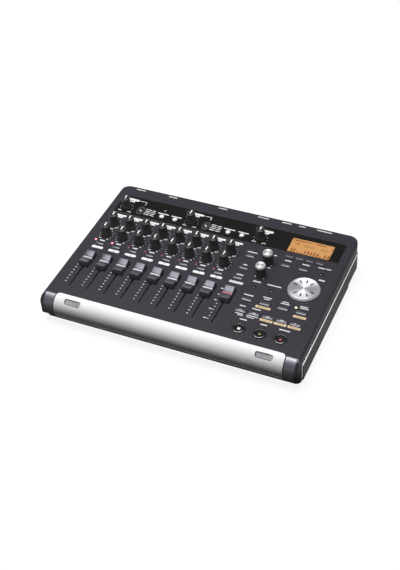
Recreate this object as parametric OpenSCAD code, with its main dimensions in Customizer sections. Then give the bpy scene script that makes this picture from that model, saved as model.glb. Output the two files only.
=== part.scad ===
// Desktop multitrack recorder. Eight channel strips and a master fader stand on a sloping deck,
// a display, a jog wheel and the transport keys stand to their right, and a silver roll with two
// microphone grilles runs along the front edge. Lengths are in millimetres. +Z is up, +Y runs
// towards the rear sockets, and the origin lies on the table under the middle of the recorder.

/* [Case] */
// Distance from the left side of the case to the first channel
left_margin = 22.5; // [19:0.1:26]
// Distance from the last column to the right side of the case
right_margin = 21.7; // [19:0.1:26]
// Rise of the deck towards the rear, in degrees
deck_tilt = 1.37; // [0:0.01:3]
// Thickness of the case walls
wall = 2.4; // [2:0.1:2.8]
// Radius of the long deck edges
edge_r = 3.3; // [3:0.1:5]
// Radius of the rear corners, seen from above
corner_r = 12; // [8:0.5:14]
// Height of the joint between the two shells
seam_z = 23.2; // [21:0.1:25]
// How far the lower shell stands out past the upper one
rail_proud = 1; // [0.8:0.1:2.5]
// Length of the rear stretch where the rail is cut back
rail_cut_d = 42; // [20:1:60]
// Height of that cut
rail_cut_h = 3.2; // [1:0.1:6]
// Gap between neighbouring case pieces
seam_gap = 0.3; // [0.2:0.05:0.5]

/* [Front roll] */
// Radius of the roll
roll_r = 15.8; // [15:0.1:17]
// How far the deck's front edge lies ahead of the roll's axis
deck_lip = 3.8; // [1:0.1:6]
// Distance from the silver bar's end to the case side
bar_margin = 16.4; // [12:0.1:24]
// Gap between the silver bar's end and the dark end of the roll
bar_end_gap = 1; // [0.4:0.1:1.6]
// How far the silver bar laps over the deck's front edge
bar_lap = 2.5; // [0.5:0.1:2.8]
// Thickness of the silver bar
bar_t = 2.2; // [1.5:0.1:3]
// Radius of the bar's corners
bar_corner_r = 4.5; // [2:0.5:8]
// Width of a microphone grille
grille_w = 19; // [12:0.5:24]
// Height of a grille, along the roll
grille_h = 6.4; // [5:0.1:8]
// Corner radius of a grille
grille_r = 2; // [1:0.1:2.4]
// Distance from the case side to the middle of a grille
grille_margin = 37.8; // [30:0.1:60]
// Angle of the grilles above the roll's axis
grille_angle = 53.7; // [35:0.1:60]
// Depth of the grille below the bar's surface
grille_sink = 0.8; // [0.3:0.1:1.2]

/* [Channel columns] */
// Distance between neighbouring channels
channel_pitch = 20.75; // [19:0.05:24]
// Distance from the last channel to the master fader
master_gap = 22.6; // [20:0.1:28]
// Distance from the master fader to the first column of the right side
section_gap = 21.65; // [20:0.05:28]
// Distance between the columns of the right side
column_pitch = 20.2; // [19:0.1:24]

/* [Channel rows] */
// Deck's front edge to a fader at its lowest
fader_low = 21.5; // [18:0.1:30]
// Travel of a fader
fader_travel = 46.9; // [40:0.1:60]
// Rest place of a fader above its lowest
fader_rest = 38.1; // [5:0.1:39]
// Top of the travel to the record arming keys
arm_gap = 20.2; // [18:0.1:26]
// Arming keys to their lamps
lamp_gap = 5.3; // [4.5:0.1:6.5]
// Arming keys to the pan knobs
pan_gap = 16.5; // [15.5:0.1:24]
// Pan knobs to the effect knobs
effect_gap = 20.3; // [15:0.1:26]
// Effect knobs to the input trims
trim_gap = 31.3; // [28:0.1:40]
// Input trims to the rear edge of the deck
rear_gap = 38.1; // [34:0.1:46]

/* [Right side rows] */
// Deck's front edge to the round stop, play and record buttons
big_row = 19.6; // [14:0.1:24]
// Round buttons to the transport keys
transport_gap = 23.6; // [16:0.1:28]
// Transport keys to the mode keys
mode_gap = 17.6; // [12:0.1:24]
// Mode keys to the small round keys
round_gap = 20.8; // [12:0.1:24]
// Small round keys to the middle of the jog wheel
wheel_gap = 12.8; // [11:0.1:18]
// Jog wheel to the lower silver knob
silver_gap = 7; // [0:0.1:12]
// Distance between the silver knobs
silver_pitch = 21.5; // [15:0.1:24]
// Upper silver knob to the menu keys
menu_gap = 1; // [0:0.1:4]
// Menu keys to the function keys
function_gap = 14.9; // [8:0.1:17]

/* [Knobs and wheel] */
// Height of a knob above the deck
knob_h = 15; // [8:0.1:20]
// Radius of a knob at its foot
knob_r = 5.6; // [4.5:0.1:6.5]
// Radius of a knob at its top
knob_top_r = 4.7; // [3.8:0.1:6]
// Radius of a silver knob at its foot
silver_r = 6; // [4.5:0.1:6.8]
// Radius of a silver knob at its top
silver_top_r = 5.4; // [4:0.1:6]
// Radius of the spindles
spindle_r = 3; // [2:0.1:3.4]
// Radius of the jog wheel
wheel_r = 17.6; // [14:0.1:19]
// Height of the jog wheel
wheel_h = 3.6; // [3:0.1:8]
// Gap under what turns or slides on the deck
ride_gap = 0.5; // [0.35:0.05:0.8]

/* [Faders] */
// Width of a fader cap at its foot
cap_w = 12.4; // [9:0.1:14]
// Width of a fader cap at its crests
cap_top_w = 10.8; // [8:0.1:13]
// Length of a fader cap
cap_l = 22.6; // [16:0.1:26]
// Distance between the two crests of a cap
crest_gap = 18; // [12:0.1:20]
// Height of a cap above the deck
cap_h = 6.6; // [5:0.1:9]
// Depth of the finger hollow between the crests
hollow_d = 2.6; // [1:0.1:3.4]
// Width of the slot in the deck
slot_w = 2.4; // [2.2:0.1:3]
// Thickness of the lever through the slot
lever_t = 1.2; // [0.8:0.1:1.4]
// Length of the lever along the slot
lever_l = 4; // [3:0.1:6]

/* [Keys] */
// Width of an arming or mixer key
key_w = 9.5; // [7:0.1:11]
// Depth of an arming or mixer key
key_d = 3.6; // [3:0.1:4.2]
// Width of a transport or mode key
wide_key_w = 11.2; // [8:0.1:11.8]
// Depth of a transport or mode key
wide_key_d = 4; // [3:0.1:5]
// Width of a function key
slim_key_w = 8.6; // [6:0.1:9]
// Depth of a function key
slim_key_d = 2.6; // [2:0.1:3.4]
// Radius of a small round key
round_key_r = 2.2; // [1.6:0.1:3]
// Radius of an input button
input_button_r = 2.8; // [2:0.1:3.5]
// Radius of the stop, play and record buttons
big_r = 7.4; // [5:0.1:8]
// Depth of the dish in these buttons
big_dish = 2.2; // [0.5:0.1:2.6]
// Width of the rim round that dish
big_rim = 0.5; // [0.3:0.1:1.2]
// Height of that rim above the deck
big_key_h = 0.8; // [0.8:0.1:2]
// Height of a key above the deck
key_h = 1.2; // [0.9:0.1:2]
// Radius of the crown along a key's top
crown_r = 4; // [4:0.1:12]
// Gap round a key
key_gap = 0.4; // [0.35:0.05:0.6]
// Travel of a key
key_travel = 0.8; // [0.3:0.1:0.9]
// Travel of an input selector to each side
selector_travel = 1.5; // [0.5:0.1:2]
// Radius of a lamp
lamp_r = 1.3; // [1:0.1:1.6]

/* [Display] */
// Front edge of the gloss panel to the input trims
gloss_front = 9.8; // [9:0.1:12]
// Input trims to the rear edge of the gloss panel
gloss_rear = 21.2; // [16:0.1:24]
// Distance from the case side to the gloss panel
gloss_margin = 10.3; // [6:0.1:12]
// Thickness of the gloss panel
gloss_t = 0.6; // [0.4:0.1:0.8]
// Width of the display window
window_w = 48.7; // [40:0.1:52]
// Depth of the display window
window_d = 23.6; // [18:0.1:25]
// Ledge that carries the window
window_ledge = 1.4; // [0.8:0.1:2]

/* [Inside] */
// Height of the pots, faders and the space for switches
component_h = 8; // [7.6:0.1:9]
// Thickness of the circuit boards
board_t = 1.6; // [1:0.1:2]
// Radial clearance of a spindle in its pot
bush_gap = 0.1; // [0.05:0.01:0.1]
// Gap between a lever and its fader's walls
runner_gap = 0.35; // [0.3:0.05:0.5]

/* [Rear sockets] */
// How far the line output sockets stand out past the case
socket_proud = 8; // [6:0.1:12]
// Radius of the bore of a quarter-inch jack
jack_r = 3.25; // [3.2:0.01:3.4]
// Depth of a quarter-inch jack's bore
jack_depth = 22; // [18:0.5:24]
// Radius of a line output sleeve
pin_sleeve_r = 4.15; // [4.1:0.01:4.2]
// Distance between the two line outputs
line_pitch = 14; // [13.5:0.1:16]
// Height of the sockets above the table
socket_z = 20.4; // [19.5:0.1:21]

/* [Feet and screws] */
// Height of the rubber feet
foot_h = 1; // [0.6:0.1:2]
// Thickness of the sole under the lower shell
sole_t = 1.8; // [1.2:0.1:2.4]
// How far the sole reaches ahead of the roll's axis
sole_reach = 7.5; // [4:0.1:9]
// Radius of the rubber feet
foot_r = 7; // [4:0.5:9]
// Radius of the case screws
screw_r = 1.4; // [1:0.1:1.5]

/* [Hidden] */
$fn = 48;
channels = 8;
columns = 4;
eps = 0.01;
reach = 1000;

// Columns, as places across the case
case_w = left_margin + right_margin + (channels - 1) * channel_pitch + master_gap + section_gap
    + (columns - 1) * column_pitch;
function channel_x(i) = left_margin - case_w / 2 + i * channel_pitch;
master_x = channel_x(channels - 1) + master_gap;
function column_x(i) = master_x + section_gap + i * column_pitch;
block_x = (column_x(0) + column_x(columns - 1)) / 2;
transport_count = 5;
transport_pitch = (columns - 1) * column_pitch / (transport_count - 1);
big_pitch = transport_pitch * 3 / 2;
input_step = 4;
selector_offset = 18.1;
input_button_offsets = [46.2, 63];
input_lamp_rise = 10.6;
window_x = column_x(1) + 1.8 * column_pitch / 2 - 1.8;
function_pitch = column_pitch * 0.575;
function function_x(i) = window_x + (i - 1.5) * function_pitch;
wheel_offset = 0.9;
wheel_x = (column_x(2) + column_x(3)) / 2 + wheel_offset;

// Rows, as distances behind the deck's front edge
fader_top = fader_low + fader_travel;
fader_home = fader_low + fader_rest;
fader_mid = fader_low + fader_travel / 2;
arm_row = fader_top + arm_gap;
lamp_row = arm_row + lamp_gap;
pan_row = arm_row + pan_gap;
effect_row = pan_row + effect_gap;
trim_row = effect_row + trim_gap;
input_row = trim_row - 1.9;
deck_d = trim_row + rear_gap;
transport_row = big_row + transport_gap;
mode_row = transport_row + mode_gap;
round_row = mode_row + round_gap;
wheel_row = round_row + wheel_gap;
silver_row = wheel_row + silver_gap;
menu_row = silver_row + silver_pitch + menu_gap;
function_row = menu_row + function_gap;
mode_lamp_offset = [-8.1, 6.5];
gloss_d = gloss_front + gloss_rear;
window_front = trim_row - gloss_front + 1;
window_row = window_front + window_d / 2;

// The case in section
base_z = foot_h + sole_t;
case_d = deck_d + roll_r - deck_lip;
rear_y = (case_d - socket_proud) / 2;
front_y = rear_y - case_d;
roll_y = front_y + roll_r;
roll_z = base_z + roll_r;
deck_edge_y = roll_y - deck_lip;
deck_edge_z = roll_z + sqrt(roll_r * roll_r - deck_lip * deck_lip);
function deck_z(y) = deck_edge_z + (y - deck_edge_y) * tan(deck_tilt);
tray_w = case_w + 2 * rail_proud;
rail_taper = 1.2;
sole_corner_r = 6;
bar_half = case_w / 2 - bar_margin;
panel_half = case_w / 2 - corner_r - 4;
panel_t = 2.4;
panel_sink = 0.6;
panel_y = rear_y - panel_sink;
floor_z = base_z + wall;

// Levels below the deck's surface
pot_top = wall + 1;
board_top = pot_top + component_h;
spindle_end = pot_top + 4.5;
flange_top = wall + seam_gap;
flange_t = 1;
flange_w = 1;
plunger_gap = 0.5;
plunger_h = board_top - flange_top - flange_t - key_travel - plunger_gap;
plunger_r = 1.6;
switch_h = plunger_h - 1.2;
switch_w = 6;
pot_w = 11;
pot_d = 12;
hole_r = spindle_r + 0.6;
fader_w = 11;
fader_l = fader_travel + 15;
big_hole_gap = 0.4;
pointer_w = 1;
pointer_d = 0.4;
selector_w = 2.2;
selector_h = 0.6;
selector_slot_l = selector_w + 2 * (selector_travel + key_gap);
well_w = 8.4;
well_l = 14;
lamp_h = 0.3;
module_rim = 3.6;
module_h = 5;
glass_gap = 0.2;

// Inner boards, bosses and screws
control_board_half = case_w / 2 - 12;
control_board_front = deck_lip + wall + 1;
control_board_d = trim_row + 8 - control_board_front;
main_board_inset = 22.1;
main_board_front_gap = 36;
main_board_rear_gap = 34;
main_board_lift = 3.4;
main_board_half = case_w / 2 - main_board_inset;
main_board_z = floor_z + main_board_lift;
main_board_front = roll_y + main_board_front_gap;
main_board_rear = rear_y - main_board_rear_gap;
post_r = 2.5;
board_posts = [
    for (x = [(channel_x(0) + channel_x(1)) / 2, (channel_x(6) + channel_x(7)) / 2, master_x + 12.8])
        for (up = [big_row, effect_row + 14.6]) [x, up]
];
right_posts = [for (up = [big_row, wheel_row + 10.6]) [column_x(3) + 5.5, up]];
boss_r = 3.6;
boss_z = base_z + 6.2;
boss_x = case_w / 2 - wall - boss_r - 0.6;
boss_front_gap = 17;
boss_rear_gap = 15;
boss_ys = [roll_y + boss_front_gap, (roll_y + rear_y) / 2, rear_y - boss_rear_gap];
bosses = [for (side = [-1, 1]) for (y = boss_ys) [side * boss_x, y]];
screw_gap = 0.1;
screw_head_r = 2.7;
screw_head_h = 1.8;
screw_l = 10;
foot_inset = 22;
foot_front_gap = 13;
foot_rear_gap = 16;
foot_x = case_w / 2 - foot_inset;
foot_ys = [roll_y + foot_front_gap, rear_y - foot_rear_gap];

// Rear sockets, from the left seen from the front
phones_x = channel_x(0) + 1.6;
input_x = [channel_x(2) + 3.1, channel_x(5) + 4.4];
line_x = master_x - 10.4;
remote_x = column_x(0) - 3.4;
data_x = column_x(1) - 4.9;
power_x = column_x(2) + 0.8;
small_socket_z = floor_z + 9.6;
combo_r = 11.6;
combo_flange = 26;
combo_flange_t = 1.2;
combo_ring_in = 7.9;
combo_ring_out = 9.6;
combo_ring_depth = 12;
phones_bush_r = 4.6;
phones_body = 14;
remote_r = 1.85;
remote_bush_r = 3.1;
remote_body = 9;
power_r = 3.1;
power_bush_r = 5;
power_pin_r = 0.9;
power_body = 11;
data_w = 8.4;
data_h = 4.4;
data_wall = 0.6;
small_depth = 12;
line_flange_r = 5.6;
line_flange_t = 1;
line_bore_r = 1.7;
line_bore_depth = 9;
socket_gap = 0.15;

// Colours
deck_grey = [0.25, 0.25, 0.27];
black = [0.08, 0.08, 0.09];
gloss_black = [0.04, 0.04, 0.045];
silver = [0.82, 0.82, 0.84];
key_grey = [0.6, 0.61, 0.68];
board_green = [0.1, 0.3, 0.18];

// Frames and outlines

module on_deck(x, up)
    translate([x, deck_edge_y, deck_edge_z])
        rotate([deck_tilt, 0, 0])
            translate([0, up / cos(deck_tilt), 0])
                children();

module rounded_plan(w, y0, y1, r_front, r_rear) {
    half = w / 2;
    translate([-half, y0 + r_front])
        square([w, y1 - y0 - r_front - r_rear]);
    translate([r_front - half, y0])
        square([w - 2 * r_front, r_front + eps]);
    translate([r_rear - half, y1 - r_rear - eps])
        square([w - 2 * r_rear, r_rear + eps]);
    for (side = [-1, 1]) {
        translate([side * (half - r_front), y0 + r_front])
            circle(r_front);
        translate([side * (half - r_rear), y1 - r_rear])
            circle(r_rear);
    }
}

module rounded_bar(w, d, r)
    rounded_plan(w, -d / 2, d / 2, r, r);

// Case section from the side, inset all round
module side_outline(inset) {
    drop = inset / cos(deck_tilt);
    intersection() {
        union() {
            translate([roll_y, roll_z])
                circle(roll_r - inset, $fn = 96);
            translate([roll_y, base_z + inset])
                square([rear_y - roll_y - inset, reach]);
        }
        polygon([
            [front_y - roll_r, -roll_r],
            [rear_y + roll_r, -roll_r],
            [rear_y + roll_r, deck_z(rear_y + roll_r) - drop],
            [front_y - roll_r, deck_z(front_y - roll_r) - drop]
        ]);
    }
}

// Case section from the front, with the deck at height zero
module end_outline(inset) {
    r = edge_r - inset;
    half = case_w / 2 - inset;
    translate([-half, -reach])
        square([2 * half, reach - inset - r]);
    translate([r - half, -reach])
        square([2 * (half - r), reach - inset]);
    for (side = [-1, 1])
        translate([side * (half - r), -inset - r])
            circle(r);
}

module envelope(inset)
    intersection() {
        rotate([90, 0, 90])
            linear_extrude(case_w + 2, center = true)
                side_outline(inset);
        linear_extrude(reach)
            rounded_plan(case_w - 2 * inset, front_y + inset, rear_y - inset,
                edge_r - inset, corner_r - inset);
        translate([0, deck_edge_y, deck_edge_z])
            rotate([90 + deck_tilt, 0, 0])
                linear_extrude(reach, center = true)
                    end_outline(inset);
    }

// Outline of the silver bar from above, grown by a gap at the rear and another at the ends
module bar_plan(gap, end_gap)
    rounded_plan(2 * (bar_half + end_gap), front_y - bar_corner_r - 2,
        deck_edge_y + bar_lap - seam_gap + gap, bar_corner_r, bar_corner_r + gap);

module roll(r)
    translate([0, roll_y, roll_z])
        rotate([0, 90, 0])
            cylinder(r = r, h = case_w, center = true, $fn = 96);

// A prism through the roll's surface where a grille sits
module grille_prism(side, gap)
    translate([side * (case_w / 2 - grille_margin), roll_y, roll_z])
        rotate([90 - grille_angle, 0, 0])
            linear_extrude(roll_r + 1)
                rounded_bar(grille_w - 2 * gap, grille_h - 2 * gap, grille_r - gap);

module rear_window(gap)
    translate([-panel_half + gap, panel_y - panel_t - wall - panel_sink, floor_z + gap])
        cube([2 * (panel_half - gap), reach, deck_z(panel_y - panel_t) - wall / cos(deck_tilt)
            - floor_z - 2 * gap]);

// Cases and panels

module bottom_shell()
    color(deck_grey) {
        difference() {
            translate([0, 0, foot_h]) {
                linear_extrude(seam_z - foot_h)
                    tray_plan();
                linear_extrude(sole_t - seam_gap)
                    rounded_plan(case_w, roll_y - sole_reach, roll_y + 3 * sole_corner_r,
                        sole_corner_r, sole_corner_r);
            }
            intersection() {
                envelope(wall);
                translate([-reach / 2, roll_y + wall, floor_z])
                    cube(reach);
            }
            rear_window(0);
            for (side = [-1, 1])
                translate([side * (case_w + reach) / 2, rear_y - rail_cut_d + reach / 2, base_z])
                    cube([reach, reach, 2 * rail_cut_h], center = true);
            for (p = bosses) screw_hole(p);
        }
        for (p = bosses)
            difference() {
                translate([p[0], p[1], floor_z - eps])
                    cylinder(r = boss_r, h = boss_z - floor_z + eps);
                screw_hole(p);
            }
        for (x = [-1, 1])
            for (y = [main_board_front + 5, main_board_rear - 5])
                translate([x * (main_board_half - 5), y, floor_z - eps])
                    cylinder(r = post_r, h = main_board_z - floor_z + eps);
    }

// Outline of the lower shell from above, with its rails tapering out at the front
module tray_plan() {
    r = corner_r + rail_proud;
    taper_y = roll_y + rail_taper;
    polygon([
        [-case_w / 2, roll_y], [case_w / 2, roll_y],
        [tray_w / 2, taper_y], [-tray_w / 2, taper_y]
    ]);
    translate([-tray_w / 2, taper_y - eps])
        square([tray_w, rear_y - r - taper_y + eps]);
    translate([r - tray_w / 2, rear_y - r - eps])
        square([tray_w - 2 * r, r + eps]);
    for (side = [-1, 1])
        translate([side * (tray_w / 2 - r), rear_y - r])
            circle(r);
}

module screw_hole(p)
    translate([p[0], p[1], foot_h - eps]) {
        cylinder(r = screw_r + 2 * screw_gap, h = boss_z);
        cylinder(r = screw_head_r + 2 * screw_gap, h = sole_t + screw_head_h + 0.6);
    }

module top_shell()
    color(deck_grey) {
        difference() {
            intersection() {
                difference() {
                    envelope(0);
                    envelope(wall);
                }
                union() {
                    translate([-reach / 2, -reach / 2, seam_z])
                        cube(reach);
                    translate([-reach / 2, roll_y - reach, 0])
                        cube(reach);
                }
            }
            linear_extrude(reach)
                bar_plan(seam_gap, bar_end_gap);
            rear_window(0);
            gloss_recess();
            control_holes(wall + 1);
            on_deck(window_x, window_row)
                translate([0, 0, -wall - 1])
                    linear_extrude(wall + 2)
                        rounded_bar(window_w - 2 * window_ledge, window_d - 2 * window_ledge, 1);
        }
        for (p = bosses) case_post(p);
        for (p = concat(board_posts, right_posts))
            on_deck(p[0], p[1])
                translate([0, 0, -board_top])
                    cylinder(r = post_r, h = board_top - wall + 0.2);
    }

// A post from the deck down to a boss in the lower shell
module case_post(p)
    difference() {
        intersection() {
            translate([p[0], p[1], boss_z])
                cylinder(r = boss_r, h = deck_z(p[1]) - boss_z - wall / 2);
            envelope(wall / 2);
        }
        translate([p[0], p[1], boss_z - eps])
            cylinder(r = screw_r + screw_gap, h = screw_l);
    }

module gloss_recess()
    gloss_blank(gloss_t + eps, 0);

module gloss_blank(t, gap)
    on_deck(0, trim_row + (gloss_rear - gloss_front) / 2)
        translate([0, 0, -gloss_t])
            linear_extrude(t)
                rounded_bar(case_w - 2 * (gloss_margin + gap), gloss_d - 2 * gap, 1.5);

// Every opening that a control passes through
module control_holes(depth) {
    for (p = spindles) deck_hole(p, depth) cylinder(r = hole_r, h = depth + 1);
    for (x = fader_xs)
        deck_hole([x, fader_mid], depth)
            linear_extrude(depth + 1)
                rounded_bar(slot_w, fader_travel + lever_l + 2 * runner_gap + 4, slot_w / 2 - eps);
    for (k = all_keys)
        deck_hole(k, depth)
            linear_extrude(depth + 1)
                key_outline(k[2], k[3], key_gap);
    for (x = [-1, 0, 1])
        deck_hole([block_x + x * big_pitch, big_row], depth)
            cylinder(r = big_r + big_hole_gap, h = depth + 1);
    for (p = lamp_places)
        deck_hole(p, depth) cylinder(r = lamp_r + seam_gap, h = depth + 1);
    for (p = selectors)
        deck_hole(p, depth)
            translate([-selector_w / 2 - key_gap, -selector_slot_l / 2, 0])
                cube([selector_w + 2 * key_gap, selector_slot_l, depth + 1]);
}

module deck_hole(p, depth)
    on_deck(p[0], p[1])
        translate([0, 0, -depth])
            children();

// A key is round where its depth is zero
module key_outline(w, d, gap)
    if (d == 0)
        circle(w / 2 + gap);
    else
        square([w + 2 * gap, d + 2 * gap], center = true);

module front_bar()
    color(silver)
        difference() {
            intersection() {
                roll(roll_r);
                linear_extrude(reach)
                    bar_plan(0, 0);
            }
            roll(roll_r - bar_t);
            translate([-case_w / 2, roll_y, 0])
                cube([case_w, reach, reach]);
            for (side = [-1, 1]) grille_prism(side, 0);
        }

module mic_grilles()
    color([0.55, 0.55, 0.57])
        for (side = [-1, 1])
            difference() {
                intersection() {
                    grille_prism(side, socket_gap);
                    translate([0, roll_y, roll_z])
                        rotate([0, 90, 0])
                            cylinder(r = roll_r - grille_sink, h = case_w, center = true, $fn = 96);
                }
                translate([0, roll_y, roll_z])
                    rotate([0, 90, 0])
                        cylinder(r = roll_r - bar_t, h = case_w, center = true, $fn = 96);
            }

module gloss_panel()
    color(gloss_black)
        difference() {
            gloss_blank(gloss_t, seam_gap / 2);
            control_holes(wall);
            for (p = selectors)
                deck_hole(p, wall)
                    linear_extrude(2 * wall)
                        rounded_bar(well_w, well_l, well_w / 2 - eps);
            on_deck(window_x, window_row)
                translate([0, 0, -wall])
                    linear_extrude(2 * wall)
                        rounded_bar(window_w, window_d, 1);
        }

module display_window()
    color([0.9, 0.6, 0.3, 0.4])
        on_deck(window_x, window_row)
            translate([0, 0, -gloss_t])
                linear_extrude(gloss_t)
                    rounded_bar(window_w - seam_gap, window_d - seam_gap, 1);

module display_module()
    color([0.9, 0.62, 0.28])
        on_deck(window_x, window_row) {
            frame_w = window_w + 2 * module_rim;
            frame_d = window_d + 2 * module_rim;
            translate([-frame_w / 2, -frame_d / 2, -wall - module_h])
                cube([frame_w, frame_d, module_h]);
            glass_w = window_w - 2 * (window_ledge + seam_gap);
            glass_d = window_d - 2 * (window_ledge + seam_gap);
            translate([-glass_w / 2, -glass_d / 2, -wall - eps])
                cube([glass_w, glass_d, wall - gloss_t - glass_gap + eps]);
        }

module rear_panel()
    color(black)
        difference() {
            intersection() {
                rear_window(seam_gap / 2);
                translate([-reach / 2, panel_y - panel_t, 0])
                    cube([reach, panel_t, reach]);
            }
            for (x = input_x) panel_hole(x, socket_z, combo_r);
            for (side = [-1, 1]) panel_hole(line_x + side * line_pitch / 2, socket_z, pin_sleeve_r);
            panel_hole(phones_x, socket_z, phones_bush_r);
            panel_hole(remote_x, small_socket_z, remote_bush_r);
            panel_hole(power_x, small_socket_z, power_bush_r);
            translate([data_x, panel_y, small_socket_z])
                cube([data_w + 2 * socket_gap, reach, data_h + 2 * socket_gap], center = true);
        }

module panel_hole(x, z, r)
    rear_facing(x, panel_y - panel_t - 1, z)
        cylinder(r = r + socket_gap, h = panel_t + 2);

// Local +Z runs out of the rear face
module rear_facing(x, y, z)
    translate([x, y, z])
        rotate([-90, 0, 0])
            children();

// Boards and components

module control_board()
    color(board_green)
        on_deck(0, control_board_front)
            translate([-control_board_half, 0, -board_top - board_t])
                cube([2 * control_board_half, control_board_d, board_t]);

module main_board()
    color(board_green)
        translate([-main_board_half, main_board_front, main_board_z])
            cube([2 * main_board_half, main_board_rear - main_board_front, board_t]);

function input_base(i) = channel_x(i * input_step);
fader_xs = [for (i = [0:channels - 1]) channel_x(i), master_x];
spindles = concat(
    [for (i = [0:channels - 1]) [channel_x(i), effect_row]],
    [for (i = [0:channels - 1]) [channel_x(i), pan_row]],
    [for (i = [0, 1]) [input_base(i), trim_row]],
    [[master_x, trim_row], [column_x(0), silver_row], [column_x(0), silver_row + silver_pitch]],
    [[wheel_x, wheel_row]]
);
selectors = [for (i = [0, 1]) [input_base(i) + selector_offset, trim_row]];
lamp_places = concat(
    [for (i = [0:channels - 1]) [channel_x(i) - 7.8, lamp_row]],
    [[input_base(0) + input_button_offsets[0], input_row + input_lamp_rise]],
    [[column_x(3) + mode_lamp_offset[0], mode_row + mode_lamp_offset[1]]]
);

// Keys as [x, distance behind the deck's edge, width, depth]
arm_places = [for (i = [0:channels - 1]) [channel_x(i), arm_row, key_w, key_d]];
transport_places = [
    for (i = [0:transport_count - 1])
        [column_x(0) + i * transport_pitch, transport_row, wide_key_w, wide_key_d]
];
mode_places = [for (i = [0:columns - 1]) [column_x(i), mode_row, wide_key_w, wide_key_d]];
mixer_places = [for (up = [effect_row, pan_row, arm_row]) [master_x, up, key_w, key_d]];
menu_places = concat(
    [for (i = [0:3]) [function_x(i), function_row, slim_key_w, slim_key_d]],
    [for (i = [1, 2]) [column_x(i), menu_row, key_w, key_d]],
    [for (i = [0, 1]) [column_x(i), round_row, 2 * round_key_r, 0]],
    [[column_x(3), menu_row, 2 * round_key_r, 0]]
);
input_places = [
    for (i = [0, 1])
        for (offset = input_button_offsets) [input_base(i) + offset, input_row, 2 * input_button_r, 0]
];
all_keys = concat(arm_places, transport_places, mode_places, mixer_places, menu_places, input_places);
big_places = [for (x = [-1, 0, 1]) [block_x + x * big_pitch, big_row]];

module pot_bodies()
    color(black)
        for (p = spindles)
            on_deck(p[0], p[1])
                difference() {
                    translate([-pot_w / 2, -pot_d / 2, -board_top])
                        cube([pot_w, pot_d, component_h]);
                    translate([0, 0, -spindle_end - ride_gap])
                        cylinder(r = spindle_r + bush_gap, h = component_h);
                }

module fader_bodies()
    color([0.45, 0.46, 0.48])
        for (x = fader_xs)
            on_deck(x, fader_mid)
                difference() {
                    translate([-fader_w / 2, -fader_l / 2, -board_top])
                        cube([fader_w, fader_l, component_h]);
                    run = fader_travel + lever_l + 2 * runner_gap + 2;
                    translate([-lever_t / 2 - runner_gap, -run / 2, -spindle_end - ride_gap])
                        cube([lever_t + 2 * runner_gap, run, component_h]);
                }

module key_switches()
    color(black) {
        for (k = concat(all_keys, big_places))
            on_deck(k[0], k[1])
                translate([0, 0, -board_top]) {
                    translate([-switch_w / 2, -switch_w / 2, 0])
                        cube([switch_w, switch_w, switch_h]);
                    cylinder(r = plunger_r, h = plunger_h);
                }
        for (p = selectors)
            on_deck(p[0], p[1])
                translate([-switch_w / 2, -selector_slot_l / 2, -board_top])
                    cube([switch_w, selector_slot_l, board_top - flange_top - flange_t - runner_gap]);
    }

module lamps()
    color([0.8, 0.25, 0.25])
        for (p = lamp_places)
            on_deck(p[0], p[1])
                translate([0, 0, -board_top])
                    cylinder(r = lamp_r, h = board_top + lamp_h);

// Rear sockets

module input_sockets()
    color(black)
        for (x = input_x)
            rear_facing(x, panel_y, socket_z)
                difference() {
                    union() {
                        translate([0, 0, -jack_depth - 2])
                            cylinder(r = combo_r, h = jack_depth + 2);
                        linear_extrude(combo_flange_t)
                            rounded_bar(combo_flange, combo_flange, 3);
                    }
                    translate([0, 0, combo_flange_t - jack_depth])
                        cylinder(r = jack_r, h = jack_depth + 1);
                    translate([0, 0, combo_flange_t - combo_ring_depth])
                        difference() {
                            cylinder(r = combo_ring_out, h = combo_ring_depth + 1);
                            cylinder(r = combo_ring_in, h = combo_ring_depth + 1);
                        }
                }

module jack_sockets()
    color(black) {
        rear_jack(phones_x, socket_z, phones_bush_r, jack_r, phones_body, jack_depth, 2);
        rear_jack(remote_x, small_socket_z, remote_bush_r, remote_r, remote_body, small_depth, 1);
        rear_jack(power_x, small_socket_z, power_bush_r, power_r, power_body, small_depth, 0.6);
        rear_facing(power_x, panel_y - small_depth - panel_t, small_socket_z)
            cylinder(r = power_pin_r, h = small_depth + panel_t - 0.5);
        rear_facing(data_x, panel_y, small_socket_z)
            difference() {
                translate([0, 0, -small_depth / 2])
                    cube([data_w, data_h, small_depth], center = true);
                translate([0, 0, -small_depth / 2 + 2])
                    cube([data_w - 2 * data_wall, data_h - 2 * data_wall, small_depth], center = true);
            }
    }

// A threaded bush through the rear panel with its body behind it
module rear_jack(x, z, bush_r, bore_r, body, depth, proud)
    rear_facing(x, panel_y, z)
        difference() {
            union() {
                translate([0, 0, -panel_t - eps])
                    cylinder(r = bush_r, h = panel_t + proud + eps);
                translate([-body / 2, -body / 2, -depth - panel_t])
                    cube([body, body, depth]);
            }
            translate([0, 0, proud - depth])
                cylinder(r = bore_r, h = depth + 1);
        }

module line_sockets()
    color([0.75, 0.72, 0.65])
        for (side = [-1, 1])
            rear_facing(line_x + side * line_pitch / 2, panel_y, socket_z)
                difference() {
                    union() {
                        translate([0, 0, -panel_t - small_depth])
                            cylinder(r = line_flange_r, h = small_depth);
                        translate([0, 0, -panel_t - eps])
                            cylinder(r = pin_sleeve_r, h = panel_t + panel_sink + socket_proud + eps);
                        cylinder(r = line_flange_r, h = line_flange_t);
                    }
                    translate([0, 0, panel_sink + socket_proud - line_bore_depth])
                        cylinder(r = line_bore_r, h = line_bore_depth + 1);
                }

// Feet and screws

module feet()
    color(black)
        for (side = [-1, 1])
            for (y = foot_ys)
                translate([side * foot_x, y, 0])
                    rotate_extrude()
                        polygon([[0, 0], [foot_r - foot_h / 3, 0], [foot_r, foot_h / 3], [foot_r, foot_h], [0, foot_h]]);

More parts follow.
